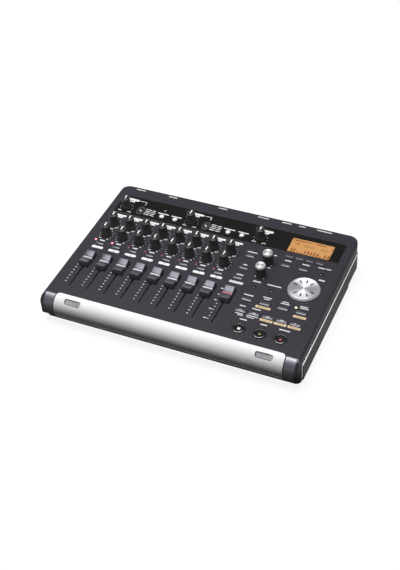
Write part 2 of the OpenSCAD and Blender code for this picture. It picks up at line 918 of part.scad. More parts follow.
module case_screws()
    color(silver)
        for (p = bosses)
            translate([p[0], p[1], base_z + 0.6]) {
                cylinder(r = screw_head_r, h = screw_head_h - 0.2);
                cylinder(r = screw_r, h = screw_l);
            }

// Moving pieces

// Turned body from the deck up, with its spindle below
module turned_knob(foot_r, top_r, groove)
    difference() {
        rotate_extrude()
            polygon([
                [0, -spindle_end], [spindle_r, -spindle_end], [spindle_r, ride_gap],
                [foot_r, ride_gap], [foot_r, ride_gap + 0.8], [top_r, knob_h - 0.6],
                [top_r - 0.6, knob_h], [0, knob_h]
            ]);
        if (groove)
            translate([-pointer_w / 2, 0.4, knob_h - pointer_d])
                cube([pointer_w, top_r, 1]);
    }

module black_knob(p)
    color(black)
        on_deck(p[0], p[1])
            turned_knob(knob_r, knob_top_r, true);

module silver_knob(p)
    color(silver)
        on_deck(p[0], p[1])
            turned_knob(silver_r, silver_top_r, false);

module effect_knob(i) black_knob([channel_x(i), effect_row]);
module pan_knob(i) black_knob([channel_x(i), pan_row]);

module jog_wheel()
    color(silver)
        on_deck(wheel_x, wheel_row)
            difference() {
                rotate_extrude($fn = 96)
                    polygon([
                        [0, -spindle_end], [spindle_r, -spindle_end], [spindle_r, ride_gap],
                        [wheel_r - 0.4, ride_gap], [wheel_r, ride_gap + 0.4], [wheel_r, wheel_h - 0.9],
                        [wheel_r - 0.7, wheel_h], [wheel_r - 2, wheel_h], [wheel_r - 2.5, wheel_h - 0.4],
                        [0, wheel_h - 0.4]
                    ]);
                for (turn = [0:36:324])
                    rotate([0, 0, turn])
                        translate([-pointer_w / 2, wheel_r - 6.5, wheel_h - 0.4 - pointer_d])
                            cube([pointer_w, 3, 2]);
            }

// Saddle-shaped cap on a thin lever that reaches into its fader
module fader_cap(x)
    color(key_grey)
        on_deck(x, fader_home) {
            hollow_r = (crest_gap * crest_gap / 4 + hollow_d * hollow_d) / (2 * hollow_d);
            difference() {
                intersection() {
                    rotate([90, 0, 90])
                        linear_extrude(cap_w, center = true)
                            polygon([
                                [-cap_l / 2, ride_gap], [cap_l / 2, ride_gap],
                                [crest_gap / 2, cap_h], [-crest_gap / 2, cap_h]
                            ]);
                    rotate([90, 0, 0])
                        linear_extrude(cap_l, center = true)
                            polygon([
                                [-cap_w / 2, ride_gap], [cap_w / 2, ride_gap],
                                [cap_top_w / 2, cap_h], [-cap_top_w / 2, cap_h]
                            ]);
                }
                translate([0, 0, cap_h - hollow_d + hollow_r])
                    rotate([0, 90, 0])
                        cylinder(r = hollow_r, h = 2 * cap_w, center = true, $fn = 96);
            }
            translate([-lever_t / 2, -lever_l / 2, -spindle_end])
                cube([lever_t, lever_l, spindle_end + ride_gap + 1]);
        }

// A key with a flange that keeps it under the deck
module key(k)
    on_deck(k[0], k[1]) {
        foot = -flange_top - flange_t;
        if (k[3] == 0)
            translate([0, 0, foot])
                cylinder(r = k[2] / 2, h = key_h - foot);
        else
            rotate([90, 0, 90])
                linear_extrude(k[2], center = true)
                    intersection() {
                        translate([-k[3] / 2, foot])
                            square([k[3], key_h - foot]);
                        translate([0, key_h - crown_r])
                            circle(crown_r, $fn = 96);
                    }
        translate([0, 0, foot])
            linear_extrude(flange_t)
                key_outline(k[2], k[3], flange_w);
    }

module big_button(i)
    color(black)
        on_deck(big_places[i][0], big_places[i][1])
            difference() {
                foot = -flange_top - flange_t;
                dish_half = big_r - big_rim;
                dish_r = (dish_half * dish_half + big_dish * big_dish) / (2 * big_dish);
                union() {
                    translate([0, 0, foot])
                        cylinder(r = big_r, h = big_key_h - foot);
                    translate([0, 0, foot])
                        cylinder(r = big_r + big_hole_gap + flange_w, h = flange_t);
                }
                translate([0, 0, big_key_h - big_dish + dish_r])
                    sphere(dish_r, $fn = 96);
            }

module input_selectors()
    color("white")
        for (p = selectors)
            on_deck(p[0], p[1])
                translate([-selector_w / 2, -selector_w / 2, -flange_top - flange_t])
                    cube([selector_w, selector_w, flange_top + flange_t + selector_h]);

module arm_keys() color(key_grey) for (k = arm_places) key(k);
module transport_keys() color(key_grey) for (k = transport_places) key(k);
module mode_keys() color(key_grey) for (k = mode_places) key(k);
module mixer_keys() color(key_grey) for (k = mixer_places) key(k);
module menu_keys() color(key_grey) for (k = menu_places) key(k);
module input_buttons() color("white") for (k = input_places) key(k);

bottom_shell();
top_shell();
front_bar();
mic_grilles();
gloss_panel();
display_window();
display_module();
rear_panel();
control_board();
main_board();
pot_bodies();
fader_bodies();
key_switches();
lamps();
input_sockets();
jack_sockets();
line_sockets();
feet();
case_screws();
fader_cap(master_x);  // master_cap
for (i = [0:channels - 1]) {
    fader_cap(channel_x(i));
    effect_knob(i);
    pan_knob(i);
}
black_knob([input_base(0), trim_row]);  // trim_knob_a
black_knob([input_base(1), trim_row]);  // trim_knob_b
black_knob([master_x, trim_row]);  // level_knob
silver_knob([column_x(0), silver_row]);  // silver_knob_lower
silver_knob([column_x(0), silver_row + silver_pitch]);  // silver_knob_upper
jog_wheel();
big_button(0);  // stop_button
big_button(1);  // play_button
big_button(2);  // record_button
arm_keys();
transport_keys();
mode_keys();
mixer_keys();
menu_keys();
input_buttons();
input_selectors();
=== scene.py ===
# %% [markdown]
# # A desktop multitrack recorder
# The recorder is a flat dark box with eight channels of knobs and faders, a lit
# display, a spun jog wheel and a silver bar rolled round its front edge. The CAD
# frame brings every solid in its true place. Here each visible piece gets its
# fine shape and its finish, so the frame is loaded first. The dressed model's box
# is printed at the end.

# %% Load the frame
import math

import bmesh
import bpy
from mathutils import Matrix, Vector


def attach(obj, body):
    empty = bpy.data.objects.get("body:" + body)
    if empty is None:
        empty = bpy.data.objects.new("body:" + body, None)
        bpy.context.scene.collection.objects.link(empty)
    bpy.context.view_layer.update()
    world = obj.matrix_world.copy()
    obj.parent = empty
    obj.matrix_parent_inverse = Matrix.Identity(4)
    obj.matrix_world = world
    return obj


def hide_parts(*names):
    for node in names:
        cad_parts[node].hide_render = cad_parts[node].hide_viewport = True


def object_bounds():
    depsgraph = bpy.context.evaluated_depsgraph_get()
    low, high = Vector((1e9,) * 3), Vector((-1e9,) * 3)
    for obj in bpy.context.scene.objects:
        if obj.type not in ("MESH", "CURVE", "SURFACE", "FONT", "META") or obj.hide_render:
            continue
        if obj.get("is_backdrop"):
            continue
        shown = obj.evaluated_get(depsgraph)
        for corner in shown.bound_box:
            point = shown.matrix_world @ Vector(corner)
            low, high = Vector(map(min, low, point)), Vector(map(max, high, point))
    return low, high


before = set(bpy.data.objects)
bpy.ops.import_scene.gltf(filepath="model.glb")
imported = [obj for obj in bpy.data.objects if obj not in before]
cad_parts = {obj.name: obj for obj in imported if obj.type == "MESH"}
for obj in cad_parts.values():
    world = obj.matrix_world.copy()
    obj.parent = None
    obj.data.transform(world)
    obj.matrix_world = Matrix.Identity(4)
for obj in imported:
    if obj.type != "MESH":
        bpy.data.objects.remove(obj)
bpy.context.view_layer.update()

# %% [markdown]
# ## Places on the deck
# The deck leans back by a little over a degree, and every control stands square
# to it. It is easiest to think in millimetres across the deck, up the deck and
# above it, so one helper turns these three into a point in metres.

# %% Deck places
MM = 0.001
LEAN = math.radians(1.37)
DECK_FRONT_Y, DECK_FRONT_Z = -95.4, 33.936
CHANNEL_PITCH, COLUMN_PITCH = 20.75, 20.2
CHANNELS = [-124.65 + CHANNEL_PITCH * i for i in range(8)]
COLUMNS = [64.85 + COLUMN_PITCH * i for i in range(4)]
MASTER_X = 43.2
ARM_ROW, PAN_ROW, MENU_ROW, EFFECT_ROW, TRIM_ROW = 88.6, 105.1, 123.9, 125.4, 156.7


def mm(x, y, z):
    """A vector in metres from three lengths in millimetres."""
    return MM * Vector((x, y, z))


def on_deck(x, up, lift=0.0):
    """The point x across, up the deck and lift above it, all in millimetres."""
    along = up / math.cos(LEAN)
    return mm(
        x,
        DECK_FRONT_Y + along * math.cos(LEAN) - lift * math.sin(LEAN),
        DECK_FRONT_Z + along * math.sin(LEAN) + lift * math.cos(LEAN),
    )


print("first channel at", [round(v, 4) for v in on_deck(CHANNELS[0], 0)])

# %% [markdown]
# ## The camera
# The photograph was taken from the front right, 42 degrees above the table, with
# a long lens and the camera turned by four degrees about its own axis. A camera
# can be aimed with a constraint, but here its three axes are known, so they are
# written straight into its matrix. A known point is projected as a test.

# %% Camera
AZIMUTH, ELEVATION, ROLL = (math.radians(v) for v in (26.428, 42.088, -4.079))
AIM = mm(0.690, -13.285, 17.933)
DISTANCE = 1.142525
LENS, SENSOR = 65.81, 36.0
PHOTO_W, PHOTO_H = 400, 570

back = Vector((
    math.sin(AZIMUTH) * math.cos(ELEVATION),
    -math.cos(AZIMUTH) * math.cos(ELEVATION),
    math.sin(ELEVATION),
))
level = Vector((math.cos(AZIMUTH), math.sin(AZIMUTH), 0))
rise = back.cross(level)
right = math.cos(ROLL) * level + math.sin(ROLL) * rise
above = -math.sin(ROLL) * level + math.cos(ROLL) * rise
stand = AIM + DISTANCE * back


def started(name, add, place=(0, 0, 0), **settings):
    """A new object by one of Blender's add operators, with nothing else selected."""
    bpy.ops.object.select_all(action="DESELECT")
    add(location=place, **settings)
    bpy.context.object.name = name
    return bpy.context.object


def pixel(point):
    """Where a point falls in the photograph's frame."""
    ray = point - stand
    scale = LENS / SENSOR * PHOTO_H / -ray.dot(back)
    return PHOTO_W / 2 + scale * ray.dot(right), PHOTO_H / 2 - scale * ray.dot(above)


camera = started("photo_camera", bpy.ops.object.camera_add)
camera.matrix_world = (
    Matrix.Translation(stand) @ Matrix((right, above, back)).transposed().to_4x4()
)
camera.data.sensor_fit = "VERTICAL"
camera.data.sensor_width = camera.data.sensor_height = SENSOR
camera.data.lens = LENS
bpy.context.scene.camera = camera
print("first effect knob at pixel", pixel(on_deck(CHANNELS[0], EFFECT_ROW, 15)))

# %% [markdown]
# ## The studio
# The photograph has a white ground and one big soft light overhead: surfaces that
# lean a little to the front shine, and level ones stay dark. The floor is white
# where the camera or a reflection sees it, keeps a soft shadow, and sends only a
# little light back up, which leaves the underside of the bar dark. A low round wall
# of the same paper stands far behind, for views from near the floor.

# %% Studio paper
def add_node(tree, kind, inputs=None, **settings):
    """Add a node, with its settings and the values of its sockets."""
    made = tree.nodes.new(kind)
    for name, value in settings.items():
        setattr(made, name, value)
    for name, value in (inputs or {}).items():
        made.inputs[name].default_value = value
    return made


def maths(tree, operation, inputs=None):
    """A Math node for one operation."""
    return add_node(tree, "ShaderNodeMath", inputs, operation=operation)


def link(tree, *wires):
    """Join nodes. A wire is a node, its output, the next node and that one's input."""
    for one, output, other, entry in wires:
        tree.links.new(one.outputs[output], other.inputs[entry])


bpy.context.scene.view_settings.view_transform = "Standard"
paper = bpy.data.materials.new("floor_paper")
paper.use_nodes = True
tree = paper.node_tree
tree.nodes.remove(tree.nodes["Principled BSDF"])
sight = add_node(tree, "ShaderNodeLightPath")
seen = maths(tree, "MAXIMUM")
seen_all = maths(tree, "MAXIMUM")
white = add_node(tree, "ShaderNodeEmission", {"Strength": 0.88})
shade = add_node(tree, "ShaderNodeBsdfDiffuse", {"Color": (0.16, 0.16, 0.16, 1)})
both = add_node(tree, "ShaderNodeAddShader")
dull = add_node(tree, "ShaderNodeBsdfDiffuse", {"Color": (0.03, 0.03, 0.03, 1)})
choose = add_node(tree, "ShaderNodeMixShader")
link(
    tree,
    (sight, "Is Camera Ray", seen, 0), (sight, "Is Glossy Ray", seen, 1),
    (seen, 0, seen_all, 0), (sight, "Is Transmission Ray", seen_all, 1),
    (white, 0, both, 0), (shade, 0, both, 1),
    (seen_all, 0, choose, 0), (dull, 0, choose, 1), (both, 0, choose, 2),
    (choose, 0, tree.nodes["Material Output"], 0),
)
print("paper nodes:", len(tree.nodes))

# %% Studio floor, wall, world and lamp
floor = started("floor", bpy.ops.mesh.primitive_plane_add, (0, 0, -0.0003), size=12)
backdrop = started("backdrop", bpy.ops.mesh.primitive_cylinder_add, (0, 0, 1.09),
                   radius=5.8, depth=2.2, end_fill_type="NOTHING", vertices=96)
for sheet in (floor, backdrop):
    sheet.data.materials.append(paper)
    sheet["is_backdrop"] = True

world = bpy.data.worlds.new("studio")
bpy.context.scene.world = world
world.use_nodes = True
world.node_tree.nodes["Background"].inputs["Color"].default_value = (1, 1, 1, 1)
world.node_tree.nodes["Background"].inputs["Strength"].default_value = 0.025

softbox = started("softbox", bpy.ops.object.light_add, (-0.2, 0.08, 1.1), type="AREA")
softbox.data.shape = "RECTANGLE"
softbox.data.size, softbox.data.size_y = 1.1, 0.85
softbox.data.energy = 18.5
print("studio:", floor.name, softbox.name, softbox.data.energy, "W")

# %% [markdown]
# ## Finishes that share an effect
# Moulded plastic is never quite even: its texture is fine, its tint drifts and
# its shine changes with it. Turned metal has rings. Each effect is made once as a
# node group and placed in every finish that needs it. A group gives only what
# changes over the surface; what is the same all over stays on the shader itself.

# %% Node groups for grain and rings
SOCKETS = {"Colour": "NodeSocketColor", "Vector": "NodeSocketVector"}


def new_group(name, takes, gives):
    """An empty shader group. Its inputs and outputs are plain values, unless SOCKETS has them."""
    group = bpy.data.node_groups.new(name, "ShaderNodeTree")
    for way, labels in (("INPUT", takes), ("OUTPUT", gives)):
        for label in labels:
            group.interface.new_socket(label, in_out=way,
                                       socket_type=SOCKETS.get(label, "NodeSocketFloat"))
    return group, group.nodes.new("NodeGroupInput"), group.nodes.new("NodeGroupOutput")


grain, taken, given = new_group(
    "surface_grain",
    ("Vector", "Colour", "Roughness", "Fineness", "Drift", "Speckle"),
    ("Colour", "Roughness", "Height"),
)
fine = add_node(grain, "ShaderNodeTexNoise", {"Detail": 3.0})
broad = add_node(grain, "ShaderNodeTexNoise", {"Scale": 38.0, "Detail": 2.0})
drift = maths(grain, "SUBTRACT", {1: 0.5})
speck = maths(grain, "SUBTRACT", {1: 0.5})
drift_by = maths(grain, "MULTIPLY_ADD", {2: 1.0})
tint_by = maths(grain, "MULTIPLY_ADD")
tint = add_node(grain, "ShaderNodeVectorMath", operation="SCALE")
dull_by = maths(grain, "MULTIPLY_ADD")
link(
    grain,
    (taken, "Vector", fine, "Vector"), (taken, "Fineness", fine, "Scale"),
    (taken, "Vector", broad, "Vector"), (broad, 0, drift, 0), (fine, 0, speck, 0),
    (drift, 0, drift_by, 0), (taken, "Drift", drift_by, 1),
    (speck, 0, tint_by, 0), (taken, "Speckle", tint_by, 1), (drift_by, 0, tint_by, 2),
    (taken, "Colour", tint, 0), (tint_by, 0, tint, "Scale"), (tint, 0, given, "Colour"),
    (drift, 0, dull_by, 0), (taken, "Drift", dull_by, 1), (taken, "Roughness", dull_by, 2),
    (dull_by, 0, given, "Roughness"), (fine, 0, given, "Height"),
)

rings, taken, given = new_group(
    "turned_rings", ("Vector", "Rings", "Roughness", "Spread"), ("Roughness", "Height"))
flat = add_node(rings, "ShaderNodeVectorMath", {1: (1, 1, 0)}, operation="MULTIPLY")
reach = add_node(rings, "ShaderNodeVectorMath", operation="LENGTH")
count = maths(rings, "MULTIPLY")
wave = maths(rings, "SINE")
uneven = maths(rings, "MULTIPLY_ADD")
link(
    rings,
    (taken, "Vector", flat, 0), (flat, 0, reach, 0), (reach, "Value", count, 0),
    (taken, "Rings", count, 1), (count, 0, wave, 0), (wave, 0, given, "Height"),
    (wave, 0, uneven, 0), (taken, "Spread", uneven, 1), (taken, "Roughness", uneven, 2),
    (uneven, 0, given, "Roughness"),
)
print("groups:", grain.name, rings.name)

# %% [markdown]
# ## A helper for plastics and paints
# Most surfaces here are one colour with a grain, so one helper places the grain
# group in a new material on Object coordinates, which are metres from the
# frame's origin because every object sits there. The five numbers of a texture
# are its grains per metre, the drift of its tint and shine, its speckle, and the
# strength and depth of its bump.

# %% Grained finishes
CASE_GRAIN = (2600, 0.1, 0.35, 0.25, 0.06)


def tone(red, green, blue):
    """A screen colour as the linear colour that Blender wants."""
    parts = [c / 255 for c in (red, green, blue)]
    return (*[c / 12.92 if c <= 0.04045 else ((c + 0.055) / 1.055) ** 2.4 for c in parts], 1)


def new_finish(name, **shader):
    """A new material, its tree and its shader, with what is the same all over set on it."""
    finish = bpy.data.materials.new(name)
    finish.use_nodes = True
    skin = finish.node_tree.nodes["Principled BSDF"]
    for socket, value in shader.items():
        skin.inputs[socket.replace("_", " ")].default_value = value
    return finish, finish.node_tree, skin


def grained(name, colour, roughness, texture, **shader):
    """A finish of one screen colour whose tint, shine and surface drift a little."""
    finish, tree, skin = new_finish(name, **shader)
    fineness, drift, speckle, bump, depth = texture
    place = add_node(tree, "ShaderNodeTexCoord")
    effect = add_node(tree, "ShaderNodeGroup", node_tree=grain, inputs={
        "Colour": tone(*colour), "Roughness": roughness,
        "Fineness": fineness, "Drift": drift, "Speckle": speckle})
    relief = add_node(tree, "ShaderNodeBump", {"Strength": bump, "Distance": depth * MM})
    link(
        tree,
        (place, "Object", effect, "Vector"), (effect, "Colour", skin, "Base Color"),
        (effect, "Roughness", skin, "Roughness"), (effect, "Height", relief, "Height"),
        (relief, "Normal", skin, "Normal"),
    )
    return finish


case_skin = grained("case_skin", (56, 54, 60), 0.5, CASE_GRAIN,
                    Specular_IOR_Level=0.0, Coat_Roughness=0.25, Coat_IOR=1.8)
tray_skin = grained("tray_skin", (24, 23, 25), 0.5, CASE_GRAIN, Specular_IOR_Level=0.1)
silver_paint = grained("silver_paint", (247, 247, 249), 0.42, (4200, 0.03, 0.08, 0.03, 0.02),
                       Specular_IOR_Level=0.05)
gloss_band = grained("gloss_band", (31, 30, 29), 0.14, (900, 0.06, 0.1, 0.01, 0.01),
                     Specular_IOR_Level=0.4)
panel_paint = grained("panel_paint", (34, 34, 36), 0.5, (2200, 0.08, 0.3, 0.2, 0.05))
circuit_green = grained("circuit_green", (38, 82, 52), 0.4, (500, 0.2, 0.3, 0.05, 0.03))
moulded_black = grained("moulded_black", (30, 29, 30), 0.45, (2000, 0.1, 0.3, 0.15, 0.05))
plated_metal = grained("plated_metal", (196, 190, 172), 0.28, (2400, 0.1, 0.15, 0.05, 0.02),
                       Metallic=1.0)
rubber = grained("rubber", (30, 30, 31), 0.8, (1500, 0.12, 0.4, 0.3, 0.06))
zinc = grained("zinc", (176, 178, 182), 0.35, (2600, 0.1, 0.2, 0.08, 0.02), Metallic=1.0)
print("plain finishes:", len(bpy.data.materials))

# %% [markdown]
# ## The skin of the case
# The deck is satin and its walls are duller. The ends of the roll grow dull
# downwards and round their corners. Their upper half has a metallic paint whose pale
# tint is also a painted highlight, and it stops short of the corners. It is all one
# solid, so a point's own place tells these apart: how far it lies below the deck's
# plane, how far ahead of the deck, how high and how far aside.

# %% Case skin
def between(tree, start, end, first=0.0, last=1.0):
    """A node that goes from first to last while its input goes from start to end."""
    return add_node(tree, "ShaderNodeMapRange", {
        "From Min": start, "From Max": end, "To Min": first, "To Max": last})


def own_place(tree):
    """A node for a point's own x, y and z in the frame."""
    where = add_node(tree, "ShaderNodeSeparateXYZ")
    link(tree, (add_node(tree, "ShaderNodeTexCoord"), "Object", where, 0))
    return where


def below_deck(tree, where):
    """A node for how far a point lies below the deck's plane."""
    slope = math.tan(LEAN)
    plane = maths(tree, "MULTIPLY_ADD", {
        1: slope, 2: MM * (DECK_FRONT_Z - slope * DECK_FRONT_Y)})
    below = maths(tree, "SUBTRACT")
    link(tree, (where, "Y", plane, 0), (plane, 0, below, 0), (where, "Z", below, 1))
    return below


def opened(finish):
    """A grained finish's tree, shader and grain node, to build on."""
    skin = finish.node_tree.nodes["Principled BSDF"]
    return finish.node_tree, skin, skin.inputs["Base Color"].links[0].from_node


tree, skin, effect = opened(case_skin)
where = own_place(tree)
below = below_deck(tree, where)
box_coat = between(tree, 0.2 * MM, 0.8 * MM, 0.35, 0.27)
roll_coat = between(tree, 13.9 * MM, 32.0 * MM, 0.08, 0.7)
ahead = between(tree, -95.3 * MM, -96.6 * MM)
# Painted highlight: the upper half of the roll's ends, short of their corners, gets a pale metallic
# tint.
upper = between(tree, 23.5 * MM, 29.9 * MM, 0.0, 0.7)
aside = maths(tree, "ABSOLUTE")
front = between(tree, 142.3 * MM, 143.6 * MM, 1.0, 0.0)
corner = between(tree, 0.0, 1.0, 0.35, 1.0)
roll_dull, on_roll, painted_highlight = (maths(tree, "MULTIPLY") for _ in range(3))
coat = add_node(tree, "ShaderNodeMix", data_type="FLOAT")
highlight_tint = add_node(tree, "ShaderNodeMix", {"B": tone(144, 141, 155)}, data_type="RGBA")
link(
    tree,
    (below, 0, box_coat, "Value"), (where, "Z", roll_coat, "Value"),
    (where, "Z", upper, "Value"), (where, "Y", ahead, "Value"),
    (where, "X", aside, 0), (aside, 0, front, "Value"), (front, "Result", corner, "Value"),
    (roll_coat, "Result", roll_dull, 0), (corner, "Result", roll_dull, 1),
    (ahead, "Result", on_roll, 0), (front, "Result", on_roll, 1),
    (upper, "Result", painted_highlight, 0), (on_roll, 0, painted_highlight, 1),
    (ahead, "Result", coat, "Factor"), (box_coat, "Result", coat, "A"), (roll_dull, 0, coat, "B"),
    (painted_highlight, 0, highlight_tint, "Factor"), (effect, "Colour", highlight_tint, "A"),
    (painted_highlight, 0, skin, "Metallic"), (highlight_tint, "Result", skin, "Base Color"),
    (coat, "Result", skin, "Coat Weight"),
)
print("case skin nodes:", len(tree.nodes))

# %% Finishes on the CAD's own solids
CAD_FINISHES = {
    "top_shell": case_skin, "bottom_shell": tray_skin, "front_bar": silver_paint,
    "gloss_panel": gloss_band, "rear_panel": panel_paint,
    "control_board": circuit_green, "main_board": circuit_green,
    "pot_bodies": moulded_black, "fader_bodies": moulded_black,
    "key_switches": moulded_black, "input_sockets": moulded_black,
    "jack_sockets": moulded_black, "line_sockets": plated_metal,
    "feet": rubber, "case_screws": zinc,
}
for name, finish in CAD_FINISHES.items():
    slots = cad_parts[name].data.materials
    if len(slots) == 0:
        slots.append(finish)
    for i in range(len(slots)):
        slots[i] = finish
print("solids with a finish:", len(CAD_FINISHES))

# %% [markdown]
# ## Shaping by hand, in code
# The modelling below is what hands do in edit mode: take one object, pick some of
# its faces by where they are, and extrude, scale, slice or bevel them. These
# helpers keep to that. A piece is shaped upright at its place, then leaned with
# the deck, and its place goes into its mesh.

# %% Helpers for edit mode
def take(*pieces):
    """Select only these pieces and make the first one active."""
    bpy.ops.object.select_all(action="DESELECT")
    for piece in pieces:
        piece.select_set(True)
    bpy.context.view_layer.objects.active = pieces[0]


def pick(piece, kind, test):
    """In edit mode, select the vertices, edges or faces whose middle passes a test."""
    bpy.ops.mesh.select_mode(type=kind)
    bpy.ops.mesh.select_all(action="DESELECT")
    shape = bmesh.from_edit_mesh(piece.data)
    for part in {"VERT": shape.verts, "EDGE": shape.edges, "FACE": shape.faces}[kind]:
        if kind == "VERT":
            middle = part.co
        elif kind == "EDGE":
            middle = (part.verts[0].co + part.verts[1].co) / 2
        else:
            middle = part.calc_center_median()
        part.select_set(bool(test(middle / MM)))
    shape.select_flush_mode()
    bmesh.update_edit_mesh(piece.data)


def extrude(move):
    """In edit mode, draw the selected faces out by a distance."""
    bpy.ops.mesh.extrude_region_move(TRANSFORM_OT_translate={"value": move})


def sliced(home, cuts):
    """In edit mode, cut the mesh flat at points off a place and drop what lies outward."""
    for point, outward in cuts:
        bpy.ops.mesh.select_all(action="SELECT")
        bpy.ops.mesh.bisect(plane_co=home + mm(*point), plane_no=outward, use_fill=True,
                            clear_outer=True)


def leave_edit():
    """Turn every face outwards and leave edit mode."""
    bpy.ops.mesh.select_all(action="SELECT")
    bpy.ops.mesh.normals_make_consistent(inside=False)
    bpy.ops.object.mode_set(mode="OBJECT")


def block(name, home, size, middle=(0, 0, 0)):
    """A box of a size in millimetres, its middle set off from a place."""
    box = started(name, bpy.ops.mesh.primitive_cube_add, home, size=1)
    bpy.ops.object.mode_set(mode="EDIT")
    bpy.ops.transform.resize(value=mm(*size), center_override=home)
    bpy.ops.transform.translate(value=mm(*middle))
    bpy.ops.object.mode_set(mode="OBJECT")
    return box


def turned(name, profile, sides, place):
    """A solid turned as on a lathe, from rings of radius and height in millimetres."""
    piece = started(name, bpy.ops.mesh.primitive_circle_add, place, vertices=sides,
                    radius=profile[0][0] * MM, fill_type="NGON")
    bpy.ops.object.mode_set(mode="EDIT")
    bpy.ops.transform.translate(value=(0, 0, profile[0][1] * MM))
    for (r0, z0), (r1, z1) in zip(profile, profile[1:]):
        extrude((0, 0, (z1 - z0) * MM))
        bpy.ops.transform.resize(value=(r1 / r0, r1 / r0, 1), center_override=place)
    leave_edit()
    return piece


print("edit helpers ready")

# %% Helpers for whole pieces
def applied(piece, kind, **settings):
    """Put a modifier on a piece and apply it."""
    take(piece)
    worker = piece.modifiers.new(kind.lower(), kind)
    for name, value in settings.items():
        setattr(worker, name, value)
    bpy.ops.object.modifier_apply(modifier=worker.name)


def softened(piece, width, segments=2, angle=35):
    """Round every edge sharper than an angle."""
    applied(piece, "BEVEL", width=width * MM, segments=segments, limit_method="ANGLE",
            angle_limit=math.radians(angle))


def repeated(piece, count, step):
    """The same shape a number of times, a step apart, as one piece."""
    applied(piece, "ARRAY", count=count, use_relative_offset=False, use_constant_offset=True,
            constant_offset_displace=step)
    return piece


def cut_by(piece, cutter):
    """Take a cutter's shape out of a piece and delete the cutter."""
    applied(piece, "BOOLEAN", operation="DIFFERENCE", object=cutter, solver="EXACT")
    take(cutter)
    bpy.ops.object.delete()


def faced(piece, degrees):
    """Turn a piece about its own upright axis."""
    take(piece)
    piece.rotation_euler.z = math.radians(degrees)
    bpy.ops.object.transform_apply(location=False, rotation=True, scale=False)
    return piece


def settle(piece, lean=LEAN, smooth=40):
    """Lean a finished piece with the deck and put its place into its mesh."""
    take(piece)
    piece.rotation_euler.x = lean
    bpy.ops.object.transform_apply(location=True, rotation=True, scale=True)
    bpy.ops.object.shade_smooth_by_angle(angle=math.radians(smooth))
    return piece


def copied(piece, name, move):
    """A copy with its own mesh, moved by a distance that goes into the mesh."""
    take(piece)
    bpy.ops.object.duplicate(linked=False)
    twin = bpy.context.object
    twin.name = name
    twin.location = move
    bpy.ops.object.transform_apply(location=True, rotation=False, scale=False)
    return twin


def joined(name, *pieces):
    """Several pieces as one."""
    take(*pieces)
    bpy.ops.object.join()
    pieces[0].name = name
    return pieces[0]


def dress(piece, finish, body, slot, *nodes):
    """Give a piece its finish, its body and the nodes it stands for. The slot is not used."""
    piece.data.materials.clear()
    piece.data.materials.append(finish)
    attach(piece, body)
    if nodes:
        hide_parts(*nodes)
    return piece


print("piece helpers ready")

# %% [markdown]
# ## Black knobs with a white line
# Nineteen tall knobs: a skirt at the foot, a slight taper and a soft rim that
# catches the light, round a shallow dished top. The top is coloured darker than
# the body, a painted shade against the light it catches. A lathe profile gives all
# of it. The white line is a slice cut out of a copy of the knob and grown by a few
# hundredths, so it follows the rim exactly as an inlaid line does.

# %% Knob finish
# Depths count down from the deck, so the top of a knob has a negative one.
KNOB_TOP_LOW, KNOB_TOP_HIGH = -14.3, -14.5
WHITE_GRAIN = (2000, 0.04, 0.06, 0.05, 0.02)

knob_black = grained("knob_black", (72, 69, 68), 0.34, (2400, 0.1, 0.25, 0.06, 0.03),
                     Specular_IOR_Level=0.35)
tree, skin, effect = opened(knob_black)
below = below_deck(tree, own_place(tree))
# Painted shade: the knob's lit top is coloured darker than its body.
top_shade_mask = between(tree, KNOB_TOP_LOW * MM, KNOB_TOP_HIGH * MM)
painted_top_shade = add_node(tree, "ShaderNodeMix", {"B": tone(36, 34, 35)}, data_type="RGBA")
link(tree, (effect, "Colour", painted_top_shade, "A"), (below, 0, top_shade_mask, "Value"),
     (top_shade_mask, "Result", painted_top_shade, "Factor"), (painted_top_shade, "Result", skin, "Base Color"))
line_white = grained("line_white", (248, 248, 246), 0.45, WHITE_GRAIN)
print("knob finish nodes:", len(tree.nodes))

# %% Black knobs
KNOB_PROFILE = [
    (3.0, -8.0), (3.0, 0.5), (5.3, 0.5), (5.6, 0.8), (5.6, 1.5), (5.45, 1.8),
    (4.95, 13.4), (4.9, 13.85), (4.7, 14.2), (4.4, 14.4), (3.6, 14.76), (3.4, 14.8),
    (3.25, 14.74), (3.1, 14.6), (0.3, 14.55),
]
LINE_HALF, LINE_FRONT, LINE_LOW, PROUD = 0.65, -1.5, 13.8, 0.05

knob_places = {
    f"{row}_{i + 1}": (x, up)
    for row, up in (("effect_knob", EFFECT_ROW), ("pan_knob", PAN_ROW))
    for i, x in enumerate(CHANNELS)
}
knob_places["trim_knob_a"] = (CHANNELS[0], TRIM_ROW)
knob_places["trim_knob_b"] = (CHANNELS[4], TRIM_ROW)
knob_places["level_knob"] = (MASTER_X, TRIM_ROW)


def inlay(piece, name, home, cuts):
    """A slice of a copy of a piece, cut at planes and grown a little."""
    strip = copied(piece, name, Vector())
    bpy.ops.object.mode_set(mode="EDIT")
    sliced(home, cuts)
    bpy.ops.mesh.select_all(action="SELECT")
    bpy.ops.transform.shrink_fatten(value=PROUD * MM)
    bpy.ops.object.mode_set(mode="OBJECT")
    return strip


home = on_deck(*knob_places["effect_knob_1"])
knob = settle(turned("effect_knob_1", KNOB_PROFILE, 48, home))
line = inlay(knob, "effect_knob_1_line", home, [
    ((LINE_HALF, 0, 0), (1, 0, 0)), ((-LINE_HALF, 0, 0), (-1, 0, 0)),
    ((0, LINE_FRONT, 0), (0, -1, 0)), ((0, 0, LINE_LOW), (0, 0, -1)),
])
made = [("effect_knob_1", knob, line)]
for name, place in list(knob_places.items())[1:]:
    move = on_deck(*place) - home
    made.append((name, copied(knob, name, move), copied(line, name + "_line", move)))
for name, body, mark in made:
    dress(body, knob_black, name, "knob_black", name)
    dress(mark, line_white, name, "white_plastic")
print("black knobs:", len(made))

